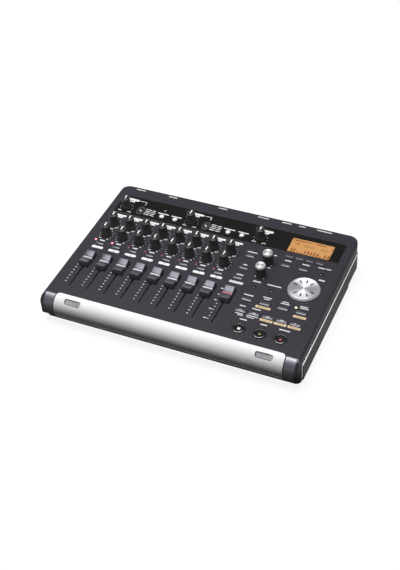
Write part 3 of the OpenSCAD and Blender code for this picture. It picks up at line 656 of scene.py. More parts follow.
# %% [markdown]
# ## Silver knobs
# Two knobs have a spun metal cap on a black body, and the jog wheel is one spun
# disc. Spun metal shines in a bow tie, because its fine rings spread light along
# the radius. The shader's anisotropy does that once its tangent runs round the
# piece's own middle, and the ring group adds the visible lines.

# %% Spun finish
def spun(name, colour, roughness, centre, count):
    """Metal turned on a lathe about an upright axis through a point."""
    finish, tree, skin = new_finish(name, Base_Color=tone(*colour), Metallic=0.75,
                                    Anisotropic=0.76, Anisotropic_Rotation=0.25)
    place = add_node(tree, "ShaderNodeTexCoord")
    middle = add_node(tree, "ShaderNodeMapping", {"Location": -centre})
    effect = add_node(tree, "ShaderNodeGroup", node_tree=rings, inputs={
        "Rings": count, "Roughness": roughness, "Spread": 0.05})
    around = add_node(tree, "ShaderNodeTangent", direction_type="RADIAL", axis="Z")
    relief = add_node(tree, "ShaderNodeBump", {"Strength": 0.06, "Distance": 0.02 * MM})
    link(
        tree,
        (place, "Object", middle, "Vector"), (middle, "Vector", effect, "Vector"),
        (effect, "Roughness", skin, "Roughness"), (effect, "Height", relief, "Height"),
        (relief, "Normal", skin, "Normal"), (around, "Tangent", skin, "Tangent"),
    )
    return finish


print("spun finish ready")

# %% Silver knobs
CAP_FOOT = 12.2
SILVER_BODY = [
    (3.0, -8.0), (3.0, 0.5), (5.7, 0.5), (6.0, 0.8), (6.0, 1.5), (5.9, 1.8), (5.5, CAP_FOOT),
]
SILVER_CAP = [
    (5.3, CAP_FOOT - 0.2), (5.55, CAP_FOOT), (5.6, CAP_FOOT + 0.3), (5.5, 14.0), (5.25, 14.6),
    (4.8, 15.0), (4.4, 15.0), (0.3, 14.95),
]
for name, up in (("silver_knob_lower", 101.4), ("silver_knob_upper", 122.9)):
    home = on_deck(COLUMNS[0], up)
    body = settle(turned(name, SILVER_BODY, 64, home))
    cap = settle(turned(name + "_cap", SILVER_CAP, 96, home))
    dress(body, knob_black, name, "knob_black", name)
    dress(cap, spun(name + "_spun", (228, 228, 230), 0.38, home, 9000), name, "silver_plastic")
print("silver knobs: 2, cap foot", CAP_FOOT)

# %% [markdown]
# ## Jog wheel
# The wheel is a wide low disc with a chamfered side, a low round rim and eight short
# dark strokes set into its top. The strokes could be paint, but a cut with a dark
# filling reads better from a low angle. One cutter is spun into ten, the two that lie
# left and right of the reader are dropped, and the rest are taken out by a Boolean.

# %% Jog wheel
WHEEL_PLACE = (116.25, 94.4)
WHEEL_PROFILE = [
    (3.0, -7.6), (3.0, 0.5), (17.3, 0.5), (17.6, 0.7), (17.6, 0.95), (17.5, 1.3), (17.2, 1.9),
    (16.8, 2.55), (16.4, 3.1), (16.1, 3.4), (15.8, 3.5), (15.5, 3.42), (15.25, 3.27), (15.1, 3.2),
    (8.0, 3.2), (0.3, 3.2),
]
STROKES, STROKE_R, GAP_TURN = 10, 10.7, math.radians(18)
SATIN_GRAIN = (2000, 0.08, 0.2, 0.1, 0.03)


def strokes(name, home, height, width, length):
    """Eight radial bars round a place, from one bar spun about it."""
    bars = block(name, home, (width, length, 1.0))
    bpy.ops.object.mode_set(mode="EDIT")
    pick(bars, "EDGE", lambda m: abs(m.z) < 0.01)
    bpy.ops.mesh.bevel(offset=0.3 * MM, segments=3)
    bpy.ops.mesh.select_all(action="SELECT")
    bpy.ops.transform.translate(value=mm(0, STROKE_R, height))
    bpy.ops.mesh.spin(steps=STROKES, dupli=True, angle=2 * math.pi, center=home, axis=(0, 0, 1))
    bpy.ops.mesh.select_all(action="SELECT")
    bpy.ops.mesh.remove_doubles(threshold=0.001 * MM)
    pick(bars, "VERT", lambda m: abs(m.y * math.cos(GAP_TURN) - m.x * math.sin(GAP_TURN)) < 1.5)
    bpy.ops.mesh.delete(type="VERT")
    leave_edit()
    return bars


home = on_deck(*WHEEL_PLACE)
wheel = turned("jog_wheel", WHEEL_PROFILE, 128, home)
cut_by(wheel, strokes("jog_wheel_cutter", home, 3.3, 1.5, 4.8))
fill = strokes("jog_wheel_strokes", home, 2.66, 1.4, 4.7)
stroke_dark = grained("stroke_dark", (14, 13, 15), 0.8, SATIN_GRAIN, Specular_IOR_Level=0.15)
settle(wheel)
settle(fill)
dress(wheel, spun("wheel_spun", (212, 212, 217), 0.4, home, 7000), "jog_wheel",
      "silver_plastic", "jog_wheel")
dress(fill, stroke_dark, "jog_wheel", "knob_black")
print("wheel faces:", len(wheel.data.polygons), "strokes:", len(fill.data.vertices))

# %% [markdown]
# ## Fader caps
# Each cap is a block that narrows upwards, hollowed along its top for a fingertip
# between two crests, with a white line across the hollow and down both sides. A
# block is tapered, cut into slices and its top points are lowered onto an arc. The
# front wall is rougher, and its darker colour is painted shade. The master's line
# is red.

# %% Fader cap shape
CAP_W, CAP_L, CAP_TOP_W, CREST_GAP = 12.4, 22.6, 10.8, 18.0
CAP_LOW, CAP_HIGH, HOLLOW = 0.5, 6.6, 2.6
HOLLOW_R = (CREST_GAP ** 2 / 4 + HOLLOW ** 2) / (2 * HOLLOW)
FADER_HOME, SLICES, CAP_LINE_HALF, CAP_LINE_LOW = 59.6, 12, 0.75, 1.2

home = on_deck(CHANNELS[0], FADER_HOME)
cap = block("fader_cap_1", home, (CAP_W, CAP_L, CAP_HIGH - CAP_LOW),
            (0, 0, (CAP_HIGH + CAP_LOW) / 2))
bpy.ops.object.mode_set(mode="EDIT")
pick(cap, "FACE", lambda m: m.z > CAP_HIGH - 0.1)
bpy.ops.transform.resize(value=(CAP_TOP_W / CAP_W, CREST_GAP / CAP_L, 1), center_override=home)
slices = [CREST_GAP * (i / SLICES - 0.5) for i in range(1, SLICES)]
for y in slices:
    bpy.ops.mesh.select_all(action="SELECT")
    bpy.ops.mesh.bisect(plane_co=home + mm(0, y, 0), plane_no=(0, 1, 0))
for y in slices:
    drop = HOLLOW - (HOLLOW_R - math.sqrt(HOLLOW_R ** 2 - y ** 2))
    pick(cap, "VERT", lambda m: abs(m.y - y) < 0.01 and m.z > CAP_HIGH - 0.1)
    bpy.ops.transform.translate(value=(0, 0, -drop * MM))
bpy.ops.object.mode_set(mode="OBJECT")
softened(cap, 0.6, 3, 30)
settle(cap, smooth=30)
line = inlay(cap, "fader_cap_1_line", home, [
    ((0, CAP_LINE_HALF, 0), (0, 1, 0)), ((0, -CAP_LINE_HALF, 0), (0, -1, 0)),
    ((0, 0, CAP_LINE_LOW), (0, 0, -1)),
])
lever = block("fader_cap_1_lever", home, (1.2, 4.0, 8.0), (0, 0, -3.0))
softened(lever, 0.2)
settle(lever)
print("faces of a cap:", len(cap.data.polygons))

# %% Fader cap finish and copies
WALL_START, WALL_END = -9.2, -9.8

cap_grey = grained("cap_grey", (60, 61, 68), 0.32, (3000, 0.06, 0.15, 0.08, 0.03),
                   Specular_IOR_Level=1.0, Specular_Tint=tone(240, 240, 255))
tree, skin, effect = opened(cap_grey)
where = own_place(tree)
# Painted shade: the front wall is coloured darker, and made rougher.
wall_shade_mask = between(tree, home.y + WALL_START * MM, home.y + WALL_END * MM)
dark = add_node(tree, "ShaderNodeMix", {"B": tone(36, 34, 35)}, data_type="RGBA")
matt = add_node(tree, "ShaderNodeMix", {"B": 0.85}, data_type="FLOAT")
link(
    tree,
    (where, "Y", wall_shade_mask, "Value"), (wall_shade_mask, "Result", dark, "Factor"),
    (wall_shade_mask, "Result", matt, "Factor"), (effect, "Colour", dark, "A"),
    (effect, "Roughness", matt, "A"), (dark, "Result", skin, "Base Color"),
    (matt, "Result", skin, "Roughness"),
)
cap_white = grained("cap_white", (222, 222, 226), 0.45, WHITE_GRAIN)
line_red = grained("line_red", (208, 118, 126), 0.45, WHITE_GRAIN)
made = [("fader_cap_1", cap, line, lever)]
for i, x in enumerate([*CHANNELS[1:], MASTER_X]):
    name = f"fader_cap_{i + 2}" if x != MASTER_X else "master_cap"
    move = on_deck(x, FADER_HOME) - home
    made.append((name, copied(cap, name, move), copied(line, name + "_line", move),
                 copied(lever, name + "_lever", move)))
for name, body, mark, stem in made:
    dress(body, cap_grey, name, "fader_grey", name)
    dress(mark, line_red if name == "master_cap" else cap_white, name, "white_plastic")
    dress(stem, moulded_black, name, "black_metal")
print("fader caps:", len(made))

# %% [markdown]
# ## Dust lips in the fader slots
# The slot in the deck is wider than the lever. Two thin lips just below the deck
# leave a narrow gap for it, which hides the inside of the case.

# %% Dust lips
SLOT_MID, SLOT_L, SLOT_HALF, LIP_W, LIP_Z = 44.95, 53.4, 1.2, 0.5, -0.55

home = on_deck(CHANNELS[0], SLOT_MID)
lips = []
for side in (-1, 1):
    lip = block(f"dust_lip_{side}", home, (LIP_W, SLOT_L, 0.5),
                (side * (SLOT_HALF - LIP_W / 2), 0, LIP_Z))
    softened(lip, 0.12)
    lips.append(settle(lip))
pair = joined("dust_lips", *lips)
pairs = [copied(pair, f"dust_lips_{i}", on_deck(x, SLOT_MID) - home)
         for i, x in enumerate([*CHANNELS[1:], MASTER_X])]
dress(joined("dust_lips", pair, *pairs), moulded_black, "case", "black_metal")
print("dust lips:", 2 * (len(pairs) + 1), "gap, mm:", 2 * (SLOT_HALF - LIP_W))

# %% [markdown]
# ## Keys
# The small keys are bars with a crowned top: the front half shines and the rear
# half stays dark. A bar is a cylinder lying across the deck, sliced flat at the
# front, the rear and the foot. Round keys and buttons come from the lathe. Keys
# that the frame moves together are joined into one piece.

# %% Bar keys
CROWN_R, KEY_HIGH, KEY_FOOT = 4.0, 1.2, -3.7
SMALL_KEY, WIDE_KEY, FUNCTION_KEY = (9.5, 3.6), (11.2, 4.0), (8.6, 2.6)
NEXT_CHANNEL, NEXT_COLUMN = mm(CHANNEL_PITCH, 0, 0), mm(COLUMN_PITCH, 0, 0)
TRANSPORT_PITCH, FUNCTION_PITCH = 15.15, 11.615


def bar_key(name, x, up, width, depth):
    """A crowned key of a width and depth at a place on the deck."""
    home = on_deck(x, up)
    key = started(name, bpy.ops.mesh.primitive_cylinder_add, home, vertices=128,
                  radius=CROWN_R * MM, depth=width * MM, rotation=(0, math.pi / 2, 0))
    bpy.ops.object.transform_apply(location=False, rotation=True, scale=False)
    bpy.ops.object.mode_set(mode="EDIT")
    bpy.ops.transform.translate(value=(0, 0, (KEY_HIGH - CROWN_R) * MM))
    sliced(home, [((0, depth / 2, 0), (0, 1, 0)), ((0, -depth / 2, 0), (0, -1, 0)),
                  ((0, 0, KEY_FOOT), (0, 0, -1))])
    bpy.ops.object.mode_set(mode="OBJECT")
    softened(key, 0.22, 2, 30)
    return settle(key, smooth=30)


arm_keys = repeated(bar_key("arm_keys", CHANNELS[0], ARM_ROW, *SMALL_KEY), 8, NEXT_CHANNEL)
transport_keys = repeated(bar_key("transport_keys", COLUMNS[0], 43.2, *WIDE_KEY), 5,
                          mm(TRANSPORT_PITCH, 0, 0))
mode_keys = repeated(bar_key("mode_keys", COLUMNS[0], 60.8, *WIDE_KEY), 4, NEXT_COLUMN)
mixer_first = bar_key("mixer_keys", MASTER_X, EFFECT_ROW, *SMALL_KEY)
mixer_keys = joined("mixer_keys", mixer_first, *[
    copied(mixer_first, f"mixer_key_{up:.0f}", on_deck(0, up) - on_deck(0, EFFECT_ROW))
    for up in (PAN_ROW, ARM_ROW)
])
function_row = repeated(bar_key("function_keys", 84.0, 138.8, *FUNCTION_KEY), 4,
                        mm(FUNCTION_PITCH, 0, 0))
menu_pair = repeated(bar_key("menu_pair", COLUMNS[1], MENU_ROW, *SMALL_KEY), 2, NEXT_COLUMN)
print("faces of the arm keys:", len(arm_keys.data.polygons))

# %% Round keys and buttons
ROUND_KEY = [(2.2, -3.7), (2.2, 0.9), (2.05, 1.1), (1.75, 1.22), (1.3, 1.2), (0.8, 1.1),
             (0.2, 1.05)]
INPUT_BUTTON = [(2.8, -3.7), (2.8, 0.7), (2.65, 1.0), (2.3, 1.2), (1.5, 1.3), (0.3, 1.33)]
ROUND_PLACES = [(COLUMNS[0], 81.6), (COLUMNS[1], 81.6), (COLUMNS[3], MENU_ROW)]
BUTTON_PLACES = [(x, 154.8) for x in (-78.45, -61.65, 4.55, 21.35)]


def turned_at(name, profile, sides, places):
    """The same turned piece at several places, as one piece."""
    first = settle(turned(name, profile, sides, on_deck(*places[0])))
    rest = [copied(first, f"{name}_{i}", on_deck(*p) - on_deck(*places[0]))
            for i, p in enumerate(places[1:])]
    return joined(name, first, *rest) if rest else first


round_keys = turned_at("round_keys", ROUND_KEY, 32, ROUND_PLACES)
menu_keys = joined("menu_keys", menu_pair, function_row)
input_buttons = turned_at("input_buttons", INPUT_BUTTON, 40, BUTTON_PLACES)
key_grey = grained("key_grey", (96, 96, 103), 0.32, (3000, 0.06, 0.15, 0.06, 0.03), Metallic=0.5)
button_white = grained("button_white", (226, 225, 228), 0.4, (2200, 0.05, 0.08, 0.06, 0.03))
button_gloss = grained("button_gloss", (16, 16, 17), 0.16, (1200, 0.04, 0.1, 0.01, 0.01),
                       Specular_IOR_Level=1.0, Coat_Weight=1.0, Coat_Roughness=0.12)
key_groups = {"arm_keys": arm_keys, "transport_keys": transport_keys, "mode_keys": mode_keys,
              "mixer_keys": mixer_keys, "menu_keys": menu_keys}
for name, piece in key_groups.items():
    dress(piece, key_grey, name, "key_grey", name)
dress(round_keys, button_gloss, "menu_keys", "knob_black")
dress(input_buttons, button_white, "input_buttons", "white_plastic", "input_buttons")
print("key pieces:", list(key_groups))

# %% [markdown]
# ## Stop, play and record
# Three round buttons, each with its sign at the bottom of a satin dish: a white
# square, a green triangle and a red dot. A gloss lip rings the dish and catches
# the light at its front. The dish is part of a sphere, so its profile follows an
# arc, and the lip is a cup turned round it. Each sign is a flat shape.

# %% Dished buttons
BIG_ROW, BIG_R, DISH_HALF, DISH_RIM, BIG_DISH = 19.6, 7.4, 5.6, 0.45, 1.3
DISH_R = (DISH_HALF ** 2 + BIG_DISH ** 2) / (2 * BIG_DISH)


def dish_height(r):
    """Height of the dish above the deck at a radius."""
    return DISH_RIM - BIG_DISH + DISH_R - math.sqrt(DISH_R ** 2 - r ** 2)


DISH_PROFILE = [(DISH_HALF, -2.5)] + [
    (r, dish_height(r)) for r in (DISH_HALF, 5.2, 4.6, 3.8, 3.0, 2.2, 1.4, 0.4)]
LIP_PROFILE = [
    (BIG_R, -3.7), (BIG_R, -0.35), (7.3, -0.1), (7.05, 0.18), (6.75, 0.42), (6.4, 0.62),
    (6.1, 0.74), (5.85, 0.78), (5.68, 0.72), (5.62, 0.5), (5.62, -2.6), (0.4, -2.6),
]
# Each button's place across the deck, and its sign's corners, size, turn and colour.
BIG_BUTTONS = {
    "stop_button": (72.4, 4, 2.1, 45, (240, 240, 240)),
    "play_button": (95.15, 3, 2.1, 30, (146, 154, 82)),
    "record_button": (117.9, 24, 1.5, 0, (172, 70, 76)),
}
dish_black = grained("dish_black", (30, 29, 29), 0.6, SATIN_GRAIN, Specular_IOR_Level=0.08)
low = dish_height(0)
for name, (x, corners, size, turn, colour) in BIG_BUTTONS.items():
    home = on_deck(x, BIG_ROW)
    dish = settle(turned(name, DISH_PROFILE, 96, home), smooth=30)
    lip = settle(turned(name + "_lip", LIP_PROFILE, 96, home), smooth=30)
    sign = turned(name + "_sign", [(size, low), (size, low + 0.22), (size - 0.12, low + 0.3)],
                  corners, home)
    settle(faced(sign, turn))
    ink = grained(name + "_sign_ink", colour, 0.4, (2500, 0.05, 0.08, 0.05, 0.02))
    dress(dish, dish_black, name, "knob_black", name)
    dress(lip, button_gloss, name, "knob_black")
    dress(sign, ink, name, "white_plastic")
print("dish depth", round(DISH_RIM - low, 2))

# %% [markdown]
# ## Selectors in their wells
# Two small white sliders sit in oval wells in the gloss band. The well is one
# plate: a plane whose corners are bevelled into a slot shape, raised, inset to a
# rim and pushed down to a floor, with a slot cut through for the slider. A thin
# pale ring lies on the rim as a painted highlight of its edge.

# %% Selectors and wells
WELL_W, WELL_L, SLIDER_W, SLIDER_L = 8.2, 13.8, 2.2, 6.0
WELL_LOW, WELL_HIGH, RING_LOW = -0.58, 0.1, 0.12
SELECTORS = [(-106.55, TRIM_ROW), (-23.55, TRIM_ROW)]


def outline(name, home, width, depth, low, corner, segments):
    """Start a piece in edit mode as a flat face with round corners over a place."""
    sheet = started(name, bpy.ops.mesh.primitive_plane_add, home, size=1)
    bpy.ops.object.mode_set(mode="EDIT")
    bpy.ops.transform.resize(value=mm(width, depth, 1), center_override=home)
    bpy.ops.transform.translate(value=(0, 0, low * MM))
    bpy.ops.mesh.bevel(offset=corner * MM, segments=segments, affect="VERTICES")
    return sheet


home = on_deck(*SELECTORS[0])
well = outline("selector_wells", home, WELL_W, WELL_L, WELL_LOW, 0.49 * WELL_W, 10)
extrude((0, 0, (WELL_HIGH - WELL_LOW) * MM))
bpy.ops.mesh.inset(thickness=0.25 * MM)
bpy.ops.mesh.inset(thickness=0.9 * MM, depth=-0.5 * MM)
leave_edit()
cut_by(well, block("slot_cutter", home, (SLIDER_W + 0.8, SLIDER_L, 4)))
settle(well, smooth=25)

slider = block("input_selectors", home, (SLIDER_W, SLIDER_W, 4.3), (0, 0, -1.55))
softened(slider, 0.3, 3)
settle(slider)

rim = outline("selector_rims", home, WELL_W - 0.2, WELL_L - 0.2, RING_LOW, 0.48 * WELL_W, 10)
bpy.ops.mesh.inset(thickness=0.75 * MM)
bpy.ops.mesh.delete(type="FACE")
bpy.ops.object.mode_set(mode="OBJECT")
applied(rim, "SOLIDIFY", thickness=0.16 * MM, offset=1)
softened(rim, 0.05)
settle(rim, smooth=30)

across = on_deck(*SELECTORS[1]) - home
wells, sliders, rims = (
    joined(name, piece, copied(piece, name + "_b", across))
    for name, piece in (("selector_wells", well), ("input_selectors", slider),
                        ("selector_rims", rim)))
# The pale rim ring is a painted highlight of the well's edge.
painted_rim_highlight = grained("painted_rim_highlight", (84, 82, 94), 0.4, SATIN_GRAIN)
dress(wells, moulded_black, "case", "gloss_black")
dress(rims, painted_rim_highlight, "case", "gloss_black")
dress(sliders, button_white, "input_selectors", "white_plastic", "input_selectors")
print("wells:", len(wells.data.polygons), "faces; sliders:", len(sliders.data.polygons))

# %% [markdown]
# ## Lamps
# Ten small lenses stand just proud of the deck. Each lamp is two pieces, a dome and
# a thin collar round it, because the dome of a lit lamp is almost white while its
# collar glows in the lamp's own colour: the collar's glow is painted, standing for
# the lamp's light round the lens. Light comes from Emission on the material, which
# keeps the deck around it plain.

# %% Lamps
LENS_DOME = [(1.25, -6.0), (1.25, 0.1), (1.2, 0.24), (1.0, 0.38), (0.65, 0.47), (0.2, 0.5)]
LENS_COLLAR = [(1.3, -6.0), (1.3, 0.01), (1.8, 0.01), (1.8, 0.08), (1.6, 0.16), (1.3, 0.2),
               (1.1, 0.12)]
ARM_LAMPS = [(x - 7.8, 93.9) for x in CHANNELS]


def glowing(name, colour, glow, strength):
    """A clear coloured plastic lit from below, or on a collar a painted glow round the lens."""
    return grained(name, colour, 0.25, (2000, 0.05, 0.08, 0.03, 0.02),
                   Emission_Color=tone(*glow), Emission_Strength=strength)


# The Emission of the lit, dim and mode collars is a painted glow of the lamp's light round its
# lens.
LAMPS = {
    "lamps_lit": (ARM_LAMPS[:2],
                  glowing("lens_lit", (240, 130, 140), (255, 190, 198), 0.9),
                  glowing("halo_glow_lit", (150, 25, 45), (150, 25, 50), 0.5)),
    "lamps_dim": (ARM_LAMPS[2:],
                  glowing("lens_dim", (138, 74, 76), (150, 60, 64), 0.08),
                  glowing("halo_glow_dim", (52, 26, 28), (80, 20, 25), 0.05)),
    "mode_lamp": ([(117.35, 67.3)],
                  glowing("lens_mode", (250, 236, 190), (255, 240, 200), 0.9),
                  glowing("halo_glow_mode", (120, 104, 72), (200, 170, 110), 0.1)),
    "input_lamp": ([(-78.45, 165.4)],
                   glowing("lens_input", (150, 145, 145), (120, 100, 100), 0.02),
                   stroke_dark),
}
for name, (places, lens, collar) in LAMPS.items():
    dress(turned_at(name, LENS_DOME, 24, places), lens, "case", "lamp_red",
          *(["lamps"] if name == "lamps_lit" else []))
    dress(turned_at(name + "_collar", LENS_COLLAR, 24, places), collar, "case", "lamp_red")
print("lamps:", sum(len(places) for places, *_ in LAMPS.values()))

# %% [markdown]
# ## The display
# An amber panel lit from behind, under a clear window that lies flush with the
# gloss band. What it shows is a row of level bars and a counter, in dark strokes
# that float just above the amber. The light grows to one side, so the panel's
# colour runs along the deck from deep amber to a slightly paler one.

# %% Display finishes
WINDOW = (101.43, 159.7)

amber, tree, skin = new_finish("amber_panel", Roughness=0.5, Emission_Strength=0.25)
place = add_node(tree, "ShaderNodeTexCoord")
centre = add_node(tree, "ShaderNodeMapping", {"Location": -on_deck(*WINDOW)})
lit_from = add_node(tree, "ShaderNodeVectorMath", {1: (9.0, -16.0, 0)}, operation="DOT_PRODUCT")
grow = between(tree, -0.35, 0.4)
blotch = add_node(tree, "ShaderNodeTexNoise", {"Scale": 90.0, "Detail": 1.0})
soft = maths(tree, "MULTIPLY_ADD", {1: 0.12})
ramp = add_node(tree, "ShaderNodeValToRGB")
ramp.color_ramp.elements[0].color = tone(187, 135, 76)
ramp.color_ramp.elements[1].color = tone(186, 141, 86)
link(
    tree,
    (place, "Object", centre, "Vector"), (centre, "Vector", lit_from, 0),
    (lit_from, "Value", grow, "Value"), (place, "Object", blotch, "Vector"),
    (blotch, 0, soft, 0), (grow, "Result", soft, 2), (soft, 0, ramp, "Fac"),
    (ramp, "Color", skin, "Base Color"), (ramp, "Color", skin, "Emission Color"),
)
clear = new_finish("clear_window", Base_Color=(1, 0.98, 0.95, 1), Roughness=0.03,
                   Transmission_Weight=1.0, IOR=1.2)[0]
print("display finishes:", amber.name, clear.name)

# %% Display panel and window
WINDOW_W, WINDOW_D = 48.4, 23.3


def plate(name, home, width, depth, low, high, corner):
    """A thin plate with round corners, from one height to another over a place."""
    sheet = outline(name, home, width, depth, low, corner, 5)
    extrude((0, 0, (high - low) * MM))
    leave_edit()
    return sheet


home = on_deck(*WINDOW)
panel = plate("display_panel", home, WINDOW_W - 0.4, WINDOW_D - 0.4, -1.2, -0.5, 0.6)
window = plate("display_window", home, WINDOW_W, WINDOW_D, -0.38, -0.02, 0.8)
softened(window, 0.08)
holder = block("display_holder", home, (56, 30.8, 5.0), (0, 0, -4.9))
softened(holder, 0.5)
for piece in (panel, window, holder):
    settle(piece, smooth=20)
dress(panel, amber, "case", "amber_window")
dress(window, clear, "case", "amber_window", "display_window")
dress(holder, panel_paint, "case", "black_metal", "display_module")
print("display window, mm:", WINDOW_W, WINDOW_D)

# %% [markdown]
# ## Marks on the display
# The strokes on a liquid crystal panel are flat. Bars are thin plates, and the
# counter is set in the built-in letters as plain zeros, made into a mesh before
# they are put in place.

# %% Display marks
INK_LOW, INK_HIGH, INK_HALF = -0.5, -0.44, 0.03
BAR_FOOT, BAR_W, COUNTER_ROW, COUNTER_SIZE = 148.9, 2.0, 161.6, 5.2
LEVEL_BARS = [(81.7, 6.0), (84.8, 5.2), (89.4, 1.8), (93.2, 1.6), (97.2, 5.6), (100.7, 6.4),
              (104.2, 5.6), (107.6, 6.2), (111.5, 5.6), (115.1, 1.8), (120.0, 6.0), (124.0, 5.4)]
HEADERS = [(90.5, 168.3, 20, 1.5), (110.5, 168.3, 13, 1.5), (85.4, 163.3, 2.6, 2.2),
           (124.1, 166.0, 2.0, 2.0)]


def lettering(name, words, x, up, size, lift, thick):
    """Plain figures on the deck as a mesh, centred on a place."""
    text = started(name, bpy.ops.object.text_add, on_deck(x, up, lift))
    text.data.body = words
    text.data.align_x, text.data.align_y = "CENTER", "CENTER"
    text.data.size = size * MM
    text.data.extrude = thick * MM
    text.data.resolution_u = 3
    bpy.ops.object.convert(target="MESH")
    return settle(bpy.context.object)


marks = []
for i, (x, tall) in enumerate(LEVEL_BARS):
    bar = plate(f"level_bar_{i}", on_deck(x, BAR_FOOT + tall / 2), BAR_W, tall, INK_LOW, INK_HIGH,
                0.15)
    marks.append(settle(bar))
for i, (x, up, wide, deep) in enumerate(HEADERS):
    marks.append(settle(plate(f"header_{i}", on_deck(x, up), wide, deep, INK_LOW, INK_HIGH, 0.3)))
for name, words, x in (("counter_a", "00:00", 99.0), ("counter_b", "00.0", 116.4)):
    marks.append(lettering(name, words, x, COUNTER_ROW, COUNTER_SIZE, INK_LOW + INK_HALF, INK_HALF))
brown_ink = grained("brown_ink", (140, 78, 24), 0.6, (1500, 0.05, 0.1, 0.02, 0.02))
dress(joined("display_marks", *marks), brown_ink, "case", "amber_window")
print("display marks:", len(LEVEL_BARS), "bars")

# %% [markdown]
# ## Microphone grilles
# Behind two openings in the bar lies a woven wire mesh, bent to the bar's roll.
# A line of points is spun about the roll's axis into a curved grid, and the
# Wireframe modifier turns the grid's edges into wires. The mesh lies deep enough
# for the opening's upper edge to throw a shadow on it. A pale felt lies behind it,
# and a dark gasket closes the opening round the two.

# %% Bent sheets
ROLL_Y, ROLL_Z, ROLL_R = -91.6, 18.6, 15.8
GRILLE_TURN = math.radians(90 - 53.7)


def rolled(name, radius, width, height, columns, rows):
    """A sheet bent round the roll's axis, at the middle of the front bar."""
    axis = mm(0, ROLL_Y, ROLL_Z)
    start = GRILLE_TURN + height / radius / 2
    edge = axis + MM * radius * Vector((0, -math.sin(start), math.cos(start)))
    sheet = started(name, bpy.ops.mesh.primitive_plane_add, edge, size=width * MM)
    bpy.ops.object.mode_set(mode="EDIT")
    pick(sheet, "VERT", lambda m: m.y > 0)
    bpy.ops.mesh.delete(type="VERT")
    bpy.ops.mesh.select_all(action="SELECT")
    bpy.ops.transform.resize(value=(1, 0, 0), center_override=edge)
    bpy.ops.mesh.subdivide(number_cuts=columns - 1)
    bpy.ops.mesh.select_all(action="SELECT")
    bpy.ops.mesh.spin(steps=rows, angle=height / radius, center=axis, axis=(1, 0, 0))
    bpy.ops.mesh.select_all(action="SELECT")
    bpy.ops.mesh.remove_doubles(threshold=0.001 * MM)
    leave_edit()
    take(sheet)
    bpy.ops.object.transform_apply(location=True, rotation=True, scale=True)
    return sheet


print("grille's middle is", round(math.degrees(GRILLE_TURN), 1), "degrees before the top")

# %% Grilles
GRILLE_X, GRILLE_W, GRILLE_H = 109.35, 19.0, 6.4
WIRE, SHEET = 0.28, 0.5

grille_wire = grained("grille_wire", (214, 214, 217), 0.4, (3000, 0.08, 0.15, 0.04, 0.02))
felt_grey = grained("felt_grey", (176, 176, 180), 0.9, (1500, 0.1, 0.3, 0.2, 0.05))
# Each sheet's depth below the roll, what it lacks of the opening, and its columns and rows.
for name, sink, less_w, less_h, columns, rows, finish in (
    ("mic_grilles", 1.3, 2.0, 1.7, 29, 8, grille_wire),
    ("mic_felt", 1.4, 2.1, 1.8, 6, 8, felt_grey),
    ("mic_gasket", 1.5, 0.1, 0.06, 6, 8, rubber),
):
    sheet = rolled(name, ROLL_R - sink, GRILLE_W - less_w, GRILLE_H - less_h, columns, rows)
    woven = name == "mic_grilles"
    if woven:
        applied(sheet, "WIREFRAME", thickness=WIRE * MM, use_boundary=True, use_even_offset=False)
    else:
        applied(sheet, "SOLIDIFY", thickness=SHEET * MM)
    take(sheet)
    bpy.ops.object.shade_smooth_by_angle(angle=math.radians(40))
    sheet.location.x = -GRILLE_X * MM
    bpy.ops.object.transform_apply(location=True, rotation=False, scale=False)
    pair = joined(name, sheet, copied(sheet, name + "_right", mm(2 * GRILLE_X, 0, 0)))
    dress(pair, finish, "case", "grille_metal", *(["mic_grilles"] if woven else []))
    print(name, "faces:", len(pair.data.polygons))

# %% [markdown]
# ## Painted highlights on the rail edges
# The lower shell stands out a millimetre past the upper one, and along the top
# of that rail lies a thin bright metal strip, a painted highlight of the rail's
# edge. Its outer face leans in a little, so that it mirrors the white floor: bright
# metal shows what is in front of it, not its own colour. A bar is made for each
# side, its upper outer edge is moved in, and a thin upright ends it at the front.

# %% Rail edges
RAIL_X, RAIL_Z, RAIL_FRONT, RAIL_REAR, RAIL_LEAN = 147.65, 23.2, -93.0, 88.0, 0.6
UPRIGHT_X, UPRIGHT_Z = 147.35, 14.2

strips = []
for side in (-1, 1):
    middle = mm(side * RAIL_X, (RAIL_FRONT + RAIL_REAR) / 2, RAIL_Z)
    strip = block(f"rail_edge_{side}", middle, (0.9, RAIL_REAR - RAIL_FRONT, 1.5), (0, 0, 0.7))
    bpy.ops.object.mode_set(mode="EDIT")
    pick(strip, "VERT", lambda m: side * m.x > 0 and m.z > 1)
    bpy.ops.transform.translate(value=(-RAIL_LEAN * side * MM, 0, 0))
    bpy.ops.object.mode_set(mode="OBJECT")
    foot = mm(side * UPRIGHT_X, RAIL_FRONT + 0.3, UPRIGHT_Z)
    upright = block(f"rail_end_{side}", foot, (0.5, 0.6, 17.6))
    for piece in (strip, upright):
        softened(piece, 0.08, 2, 20)
        strips.append(settle(piece, lean=0))
rail_edges = joined("rail_edges", *strips)
# The bright metal strip is a painted highlight of the rail's edge.
painted_rail_highlight = grained("painted_rail_highlight", (234, 230, 238), 0.22, (2600, 0.04, 0.06, 0.02, 0.02),
                      Metallic=1.0)
dress(rail_edges, painted_rail_highlight, "case", "silver_bar")
print("rail edges reach x", round(max(v.co.x for v in rail_edges.data.vertices) / MM, 2))

# %% [markdown]
# ## Printing on the deck
# Scales, dots, boxes and short strokes are screen printed on the real deck. Each
# mark is a plate a few hundredths of a millimetre high, with round corners, laid
# on the deck in edit mode, so that one object holds a whole colour. What repeats
# for every channel is made once and repeated by an Array.

# %% Printing helpers
INK, BELOW = 0.05, 0.02


